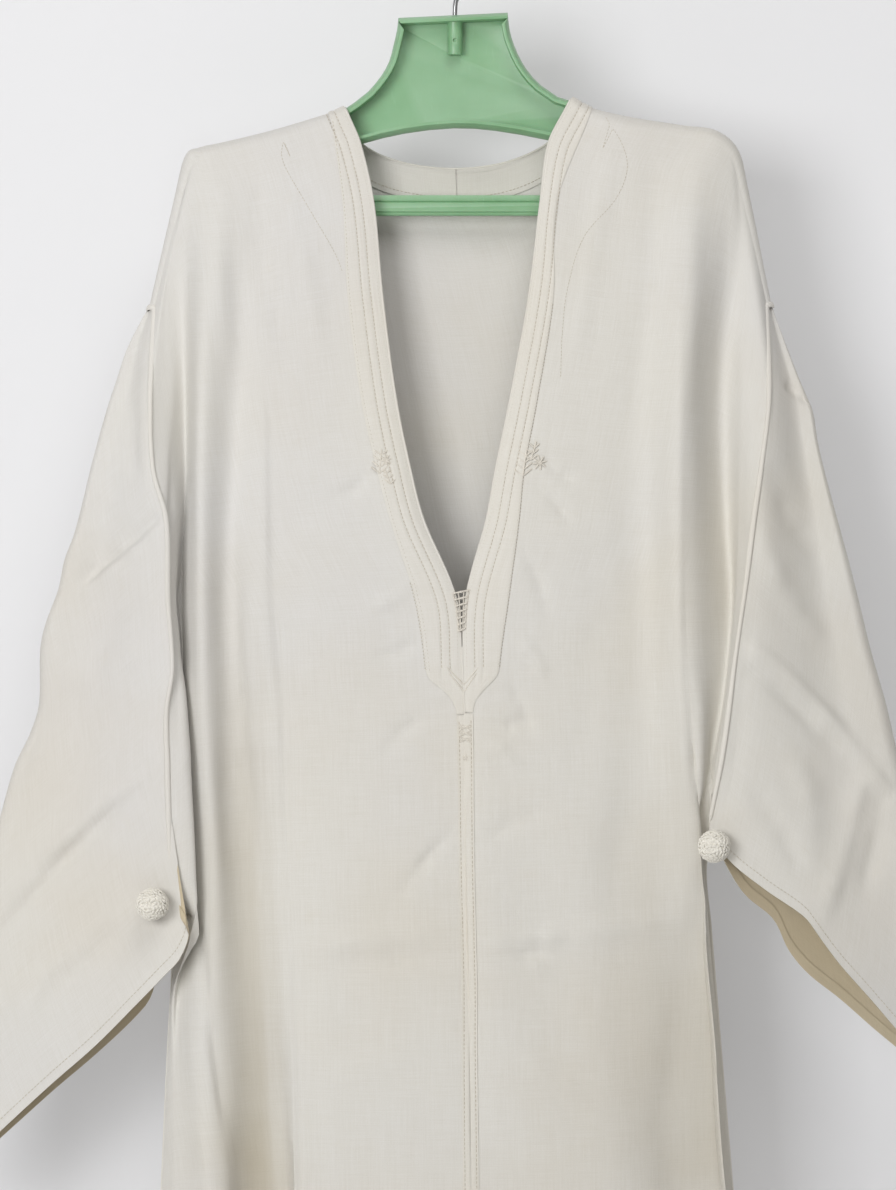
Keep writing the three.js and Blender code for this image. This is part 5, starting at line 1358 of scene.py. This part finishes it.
YOKE_RIGHT = [
    (114, -142), (127, -164), (130, -183), (121, -205), (97, -234), (85, -272), (81, -305), (79.5, -340),
]
YOKE_LEFT = [(-130, -159), (-130, -176), (-113, -207), (-92, -243), (-84, -262)]
pieces["stitch_yoke"] = stitching(
    "yoke_stitches",
    [traced(FRONTS["right"], YOKE_RIGHT), traced(FRONTS["left"], YOKE_LEFT)],
    pitch=2.6, radius=0.24, lift=0.1)


def zigzag(name, sheet, rows, reach=1.4, pitch=2.6):
    """A zigzag over the band's outer edge."""
    points, normals = on_sheet(sheet, 1.0, rows, BAND_FACE)
    inner, _ = on_sheet(sheet, 0.9, rows, BAND_FACE)
    spots, ups = evenly(points, normals, pitch)
    inners, _ = evenly(inner, normals, pitch)
    parts = []
    for i in range(min(len(spots), len(inners)) - 1):
        inward = inners[i] - spots[i]
        inward = inward / np.linalg.norm(inward)
        low = ups[i] * -(BAND_FACE - TOP_OF_CLOTH)
        over = spots[i] + inward * reach
        off = (spots[i] + spots[i + 1]) / 2 - inward * reach * 0.6 + low
        again = spots[i + 1] + inward * reach
        for start, end in ((over, off), (off, again)):
            parts.append(dash(start, end, ups[i], 0.26, 0.3))
    return tubes_piece(name, parts, SEAM_THREAD)


zigzag_rows = {"right": np.linspace(1.25, POINT_FROM, 160), "left": np.linspace(1.62, POINT_FROM, 60)}
for name, rows in zigzag_rows.items():
    pieces[f"zigzag_{name}"] = zigzag(f"band_zigzag_{name}", FRONTS[name], rows)

for name, arm in SLEEVES.items():
    lines = []
    for us in (np.linspace(0.03, 0.49, 90), np.linspace(0.51, 0.97, 90)):
        lines.append(on_sheet(arm, us, CUFF - up_from_cuff(arm, us, CUFF_STITCHES), TOP_OF_CLOTH))
    pieces[f"stitch_cuff_{name}"] = stitching(f"cuff_stitches_{name}", lines, pitch=3.2)

hem_row = 2.9845
lines = [on_sheet(sheet, np.linspace(0.3, 6.9, 150), hem_row, TOP_OF_CLOTH) for sheet in FRONTS.values()]
lines.append(on_sheet(BACK, np.linspace(0.1, 15.9, 240), hem_row, TOP_OF_CLOTH))
pieces["stitch_hem"] = stitching("hem_stitches", lines, pitch=3.6)

# The facing's foot is sewn through, so its row shows on the inside and the outside.
facing_row = 1.034
facing_us = np.linspace(5.55, 10.45, 160)
inside_points, inside_normals = on_sheet(BACK, facing_us, facing_row, -1.65)
pieces["stitch_facing"] = stitching("neck_facing_stitches", [
    (inside_points, -inside_normals),
    on_sheet(BACK, facing_us, facing_row, TOP_OF_CLOTH),
    on_sheet(BACK, np.linspace(4.9, 11.1, 160), 0.75, TOP_OF_CLOTH),
])

# ---- embroidery and the lattice at the foot of the slit ----------------------

# The rings and sides of one bar of thick thread.
BAR = (6, 6)


def embroidered(name, sheet, bars, lift):
    """Raised bars of thread between places in the front view."""
    radius = 0.62
    parts = []
    for (x0, z0), (x1, z1) in bars:
        ends = []
        for x, z in ((x0, z0), (x1, z1)):
            u, v = sheet.find(x, z)
            ends.append(on_sheet(sheet, np.array(u), np.array(v), lift))
        up = ends[0][1] + ends[1][1]
        parts.append(dash(ends[0][0], ends[1][0], up / np.linalg.norm(up), radius, 0.5, *BAR))
    return tubes_piece(name, parts, MOTIF_THREAD)


def sprig(x, z, tall, lean, pairs):
    """A little upright sprig: a stem with slanting leaves on both sides."""
    bars = []
    for i in range(pairs):
        share = i / pairs
        cx, cz = x + lean * share * tall, z + tall * share
        bars.append(((cx, cz), (cx + lean * tall / pairs, cz + tall / pairs)))
        size = tall * (0.34 - 0.1 * share)
        bars.append(((cx, cz), (cx - size, cz + size * 0.8)))
        bars.append(((cx, cz), (cx + size, cz + size * 0.8)))
    return bars


def star(x, z, size):
    """A small eight-armed star of stitches."""
    bars = []
    for i in range(8):
        angle = math.pi * i / 4 + 0.2
        bars.append(((x, z), (x + size * math.cos(angle), z + size * math.sin(angle))))
    return bars


left_motif = sprig(-57, -412, 18, 0.1, 4) + sprig(-49, -420, 12, -0.35, 3) + star(-52, -402, 4.5)
right_motif = sprig(51, -414, 20, 0.15, 4) + sprig(57, -402, 14, 0.3, 3) + star(63.5, -404, 5.5)
for name, motif, stand in (("left", left_motif, 0.9), ("right", right_motif, 0.5)):
    pieces[f"motif_{name}"] = embroidered(
        f"breast_motif_{name}", FRONTS[name], motif, TOP_OF_CLOTH + stand)


def between_fronts(s, v, lift):
    """A point across the slit: s = 0 on the left edge, 1 on the right one."""
    left, right = (sheet.at(in_from(sheet, np.array(v), 1.6), v)[0] for sheet in FRONTS.values())
    return left * (1 - s) + right * s + TO_FRONT * lift


def lattice():
    """Crossbars, beads and uprights of thread over the foot of the slit."""
    bead_widths = np.array([0.45, 0.9, 1, 0.9, 0.45])
    bead_heights = np.array([0.35, 0.75, 0.85, 0.75, 0.35])
    parts = []
    levels = np.linspace(V_FOOT - 0.004, TACK_FOOT, 7)
    for i, v in enumerate(levels):
        start, end = between_fronts(0.0, v, 2.1), between_fronts(1.0, v, 2.1)
        parts.append(dash(start, end, TO_FRONT, 0.75, 0.5, *BAR))
        for s in (0.14, 0.5, 0.86):
            centre = between_fronts(s, v, 2.7)
            size = 0.95 - 0.04 * i
            bead = np.linspace(centre - [0, 0, size], centre + [0, 0, size], len(bead_widths))
            ups = np.tile(TO_FRONT, (len(bead), 1))
            parts.append(tube_part(bead, size * bead_widths, size * bead_heights, ups, 7))
    for s in (0.02, 0.34, 0.66, 0.98):
        line = np.array([between_fronts(s, v, 1.9) for v in np.linspace(levels[0], levels[-1], 10)])
        girth = np.full(len(line), 0.5)
        parts.append(tube_part(line, girth, girth, np.tile(TO_FRONT, (len(line), 1)), 6))
    return tubes_piece("slit_lattice", parts, MOTIF_THREAD, "neck_tack")


pieces["lattice"] = lattice()
closing_rows = np.linspace(1.712, POINT + 0.004, 40)
line = np.array([between_fronts(0.5, v, BAND_LIFT + 0.1) for v in closing_rows])
pieces["closing_seam"] = roll("front_closing_seam", line, np.tile(TO_FRONT, (len(line), 1)),
                              np.full(len(line), 0.9), np.full(len(line), 0.75), BAND_CLOTH)


def centre_bars(spots):
    """Bars on the centre band, each end given as x from its middle and z."""
    parts = []
    for spot in spots:
        ends = []
        for offset, z in spot:
            sheet = FRONTS["left" if offset < 0 else "right"]
            v = np.interp(-z, -sheet.points[:, 0, 2], sheet.vs)
            u = in_from(sheet, np.array(v), abs(offset))
            ends.append(laid(sheet, u, v, BAND_FACE))
        parts.append(dash(ends[0], ends[1], TO_FRONT, 0.5, 0.5, *BAR))
    return parts


def crossed(half, z, drop):
    """Two bars that cross on the centre line."""
    return [((-half, z), (half, z - drop)), ((half, z), (-half, z - drop))]


knots = []
for z in (-600.5, -605.1, -609.7):
    knots += crossed(4.2, z, 4.4) + [((-4.6, z - 2.2), (4.6, z - 2.2))]
knots += crossed(2.2, -624.5, 3.0) + [((0.1, -622.8), (0.1, -629))]
chevrons = []
for drop in (0, 5.2):
    for hand in (-1, 1):
        chevrons.append(((hand * (12 - drop * 0.4), -556 - drop), (0.1, -571 - drop)))
pieces["tie_knots"] = tubes_piece("centre_embroidery", centre_bars(knots + chevrons), MOTIF_THREAD)

# ---- pompoms -----------------------------------------------------------------

STRANDS = 235
STRAND_WIDTHS = np.array([0.3, 0.85, 1.05, 1.05, 0.85, 0.3])
GOLDEN_ANGLE = math.pi * (3 - math.sqrt(5))


def pompom(name, seed):
    """A wound ball of yarn: short strands that swirl over a soft core."""
    rng = random.Random(seed)
    low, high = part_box(f"pompom_{name}")
    centre = (np.array(low) + np.array(high)) / 2 / MM
    bpy.ops.object.select_all(action="DESELECT")
    middle = Vector((centre * MM).tolist())
    bpy.ops.mesh.primitive_ico_sphere_add(
        subdivisions=5, radius=(POMPOM_RADIUS - 1.6) * MM, location=middle)
    core = bpy.context.object
    core.name = f"pompom_core_{name}"
    bpy.ops.object.transform_apply(location=True, rotation=True, scale=True)
    for vertex in core.data.vertices:
        way = (vertex.co - middle).normalized()
        lump = math.sin(way.x * 9 + seed) * math.sin(way.y * 8 + 1) + math.sin(way.z * 11 + seed)
        vertex.co += way * lump * 0.00035
    settle(core, POMPOM_YARN, f"pompom_{name}")
    parts = []
    for i in range(STRANDS):
        height = 1 - 2 * (i + 0.5) / STRANDS
        ring = math.sqrt(1 - height * height)
        angle = GOLDEN_ANGLE * i
        out = np.array([ring * math.cos(angle), height, ring * math.sin(angle)])
        swirl = np.cross(out, [0.3, 1.0, 0.2])
        swirl = swirl + 0.8 * np.array([rng.uniform(-1, 1) for _ in range(3)])
        swirl = swirl - out * np.dot(swirl, out)
        swirl /= np.linalg.norm(swirl)
        length = rng.uniform(3.2, 5.4)
        shares = np.linspace(-0.5, 0.5, len(STRAND_WIDTHS))
        radius = POMPOM_RADIUS - 1.75 + rng.uniform(-0.25, 0.35)
        centres = []
        for share in shares:
            turn = share * length / radius
            bulge = 0.9 * math.cos(share * math.pi) - 0.35
            centres.append(centre + (out * math.cos(turn) + swirl * math.sin(turn)) * (radius + bulge))
        widths = STRAND_WIDTHS * rng.uniform(0.75, 1.0)
        parts.append(tube_part(centres, widths, widths * 0.8, np.tile(out, (len(shares), 1)), 6))
    return core, tubes_piece(f"pompom_yarn_{name}", parts, POMPOM_YARN)


for seed, name in enumerate(SIDES):
    pieces[f"pompom_core_{name}"], pieces[f"pompom_{name}"] = pompom(name, seed + 3)

# ---- hanger and hook ---------------------------------------------------------


def moulded(name, node, material, width):
    """A solid of the frame with its edges eased and its own finish."""
    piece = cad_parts[node].copy()
    piece.data = piece.data.copy()
    piece.name = name
    bpy.context.scene.collection.objects.link(piece)
    close_poles(piece, 0.00002)
    only(piece)
    ease_edges = piece.modifiers.new("eased_edges", "BEVEL")
    ease_edges.width = width
    ease_edges.segments = 2
    ease_edges.limit_method = "ANGLE"
    ease_edges.angle_limit = math.radians(38)
    ease_edges.use_clamp_overlap = True
    bpy.ops.object.modifier_apply(modifier=ease_edges.name)
    return settle(piece, material, node, angle=35)


pieces["hanger"] = moulded("hanger_shell", "hanger_body", MINT, 0.0005)
pieces["hook"] = moulded("hook_wire", "hook", STEEL, 0.0003)

# ---- an area for each side, which nothing reads ------------------------------

for name in SIDES:
    area = 0.322 if name == "left" else 0.297
    area = 0.127 if name == "left" else 0.107

# ---- studio ------------------------------------------------------------------

ROOM = 4
WALL_Y = 0.13
FLOOR_Z = -1.75


def stage_plane(name, points, colour, see_through, glow=0.0):
    """A painted plane of the studio, clear from behind where it is see_through."""
    mesh = bpy.data.meshes.new(name)
    mesh.from_pydata(points, [], [[0, 1, 2, 3]])
    plane = put_in_scene(name, mesh)
    finish = Finish(f"{name}_paint", 0.95)
    grain = finish.noise(finish.coordinates(OBJECT_PLACE), 30, 3.0, 0.5)
    finish.paint(finish.blend(grain * 0.06, colour, tone(205, 205, 205)))
    finish.shader.inputs["Emission Color"].default_value = colour
    finish.shader.inputs["Emission Strength"].default_value = glow
    if see_through:
        clear = finish.node("ShaderNodeBsdfTransparent")
        behind = finish.node("ShaderNodeNewGeometry", output=BACKFACING)
        painted = Value(finish, finish.shader.outputs[0])
        mixed = finish.node("ShaderNodeMixShader", None, {0: behind, 1: painted, 2: clear})
        finish.tree.links.new(mixed.socket, finish.tree.nodes["Material Output"].inputs["Surface"])
    mesh.materials.append(finish.material)


wall = [(-ROOM, WALL_Y, FLOOR_Z), (ROOM, WALL_Y, FLOOR_Z), (ROOM, WALL_Y, 2), (-ROOM, WALL_Y, 2)]
stage_plane("pale_wall", wall, tone(209, 209, 210), see_through=True, glow=0.28)
floor = [(-ROOM, -ROOM, FLOOR_Z), (ROOM, -ROOM, FLOOR_Z), (ROOM, ROOM, FLOOR_Z), (-ROOM, ROOM, FLOOR_Z)]
stage_plane("pale_floor", floor, tone(232, 232, 233), see_through=False)

LOOK_AT = Vector((0, 0, -0.6))


def soft_light(name, place, size, power, colour=(1, 1, 1)):
    """A square lamp that points at the middle of the robe."""
    lamp = bpy.data.lights.new(name, "AREA")
    lamp.shape = "SQUARE"
    lamp.size = size
    lamp.energy = power
    lamp.color = colour
    light = put_in_scene(name, lamp)
    light.location = place
    light.rotation_euler = (LOOK_AT - Vector(place)).to_track_quat("-Z", "Y").to_euler()


soft_light("key", (-1.3, -2.6, -0.15), 1.2, 44, (0.98, 0.985, 1.0))
soft_light("from_above", (0.35, -1.6, 1.3), 1.2, 17, (0.99, 0.99, 1.0))
soft_light("near_front", (-0.1, -1.8, -0.4), 0.5, 2, (1.0, 0.99, 0.97))
soft_light("behind", (0.0, 2.6, 0.4), 2.4, 14)

world = bpy.data.worlds.new("studio")
world.use_nodes = True
world.node_tree.nodes["Background"].inputs["Color"].default_value = (1.0, 0.97, 0.93, 1)
world.node_tree.nodes["Background"].inputs["Strength"].default_value = 0.25
bpy.context.scene.world = world
bpy.context.scene.view_settings.view_transform = "Standard"

FRAME_HEIGHT = 0.9044
SENSOR_HEIGHT = 36
CAMERA_Y = -3.4
lens = bpy.data.cameras.new("camera")
lens.sensor_fit = "VERTICAL"
lens.sensor_height = SENSOR_HEIGHT
lens.lens = SENSOR_HEIGHT * -CAMERA_Y / FRAME_HEIGHT
camera = put_in_scene("camera", lens)
camera.location = (-0.0053, CAMERA_Y, -0.5036)
camera.rotation_euler = (math.pi / 2, 0, 0)
bpy.context.scene.camera = camera
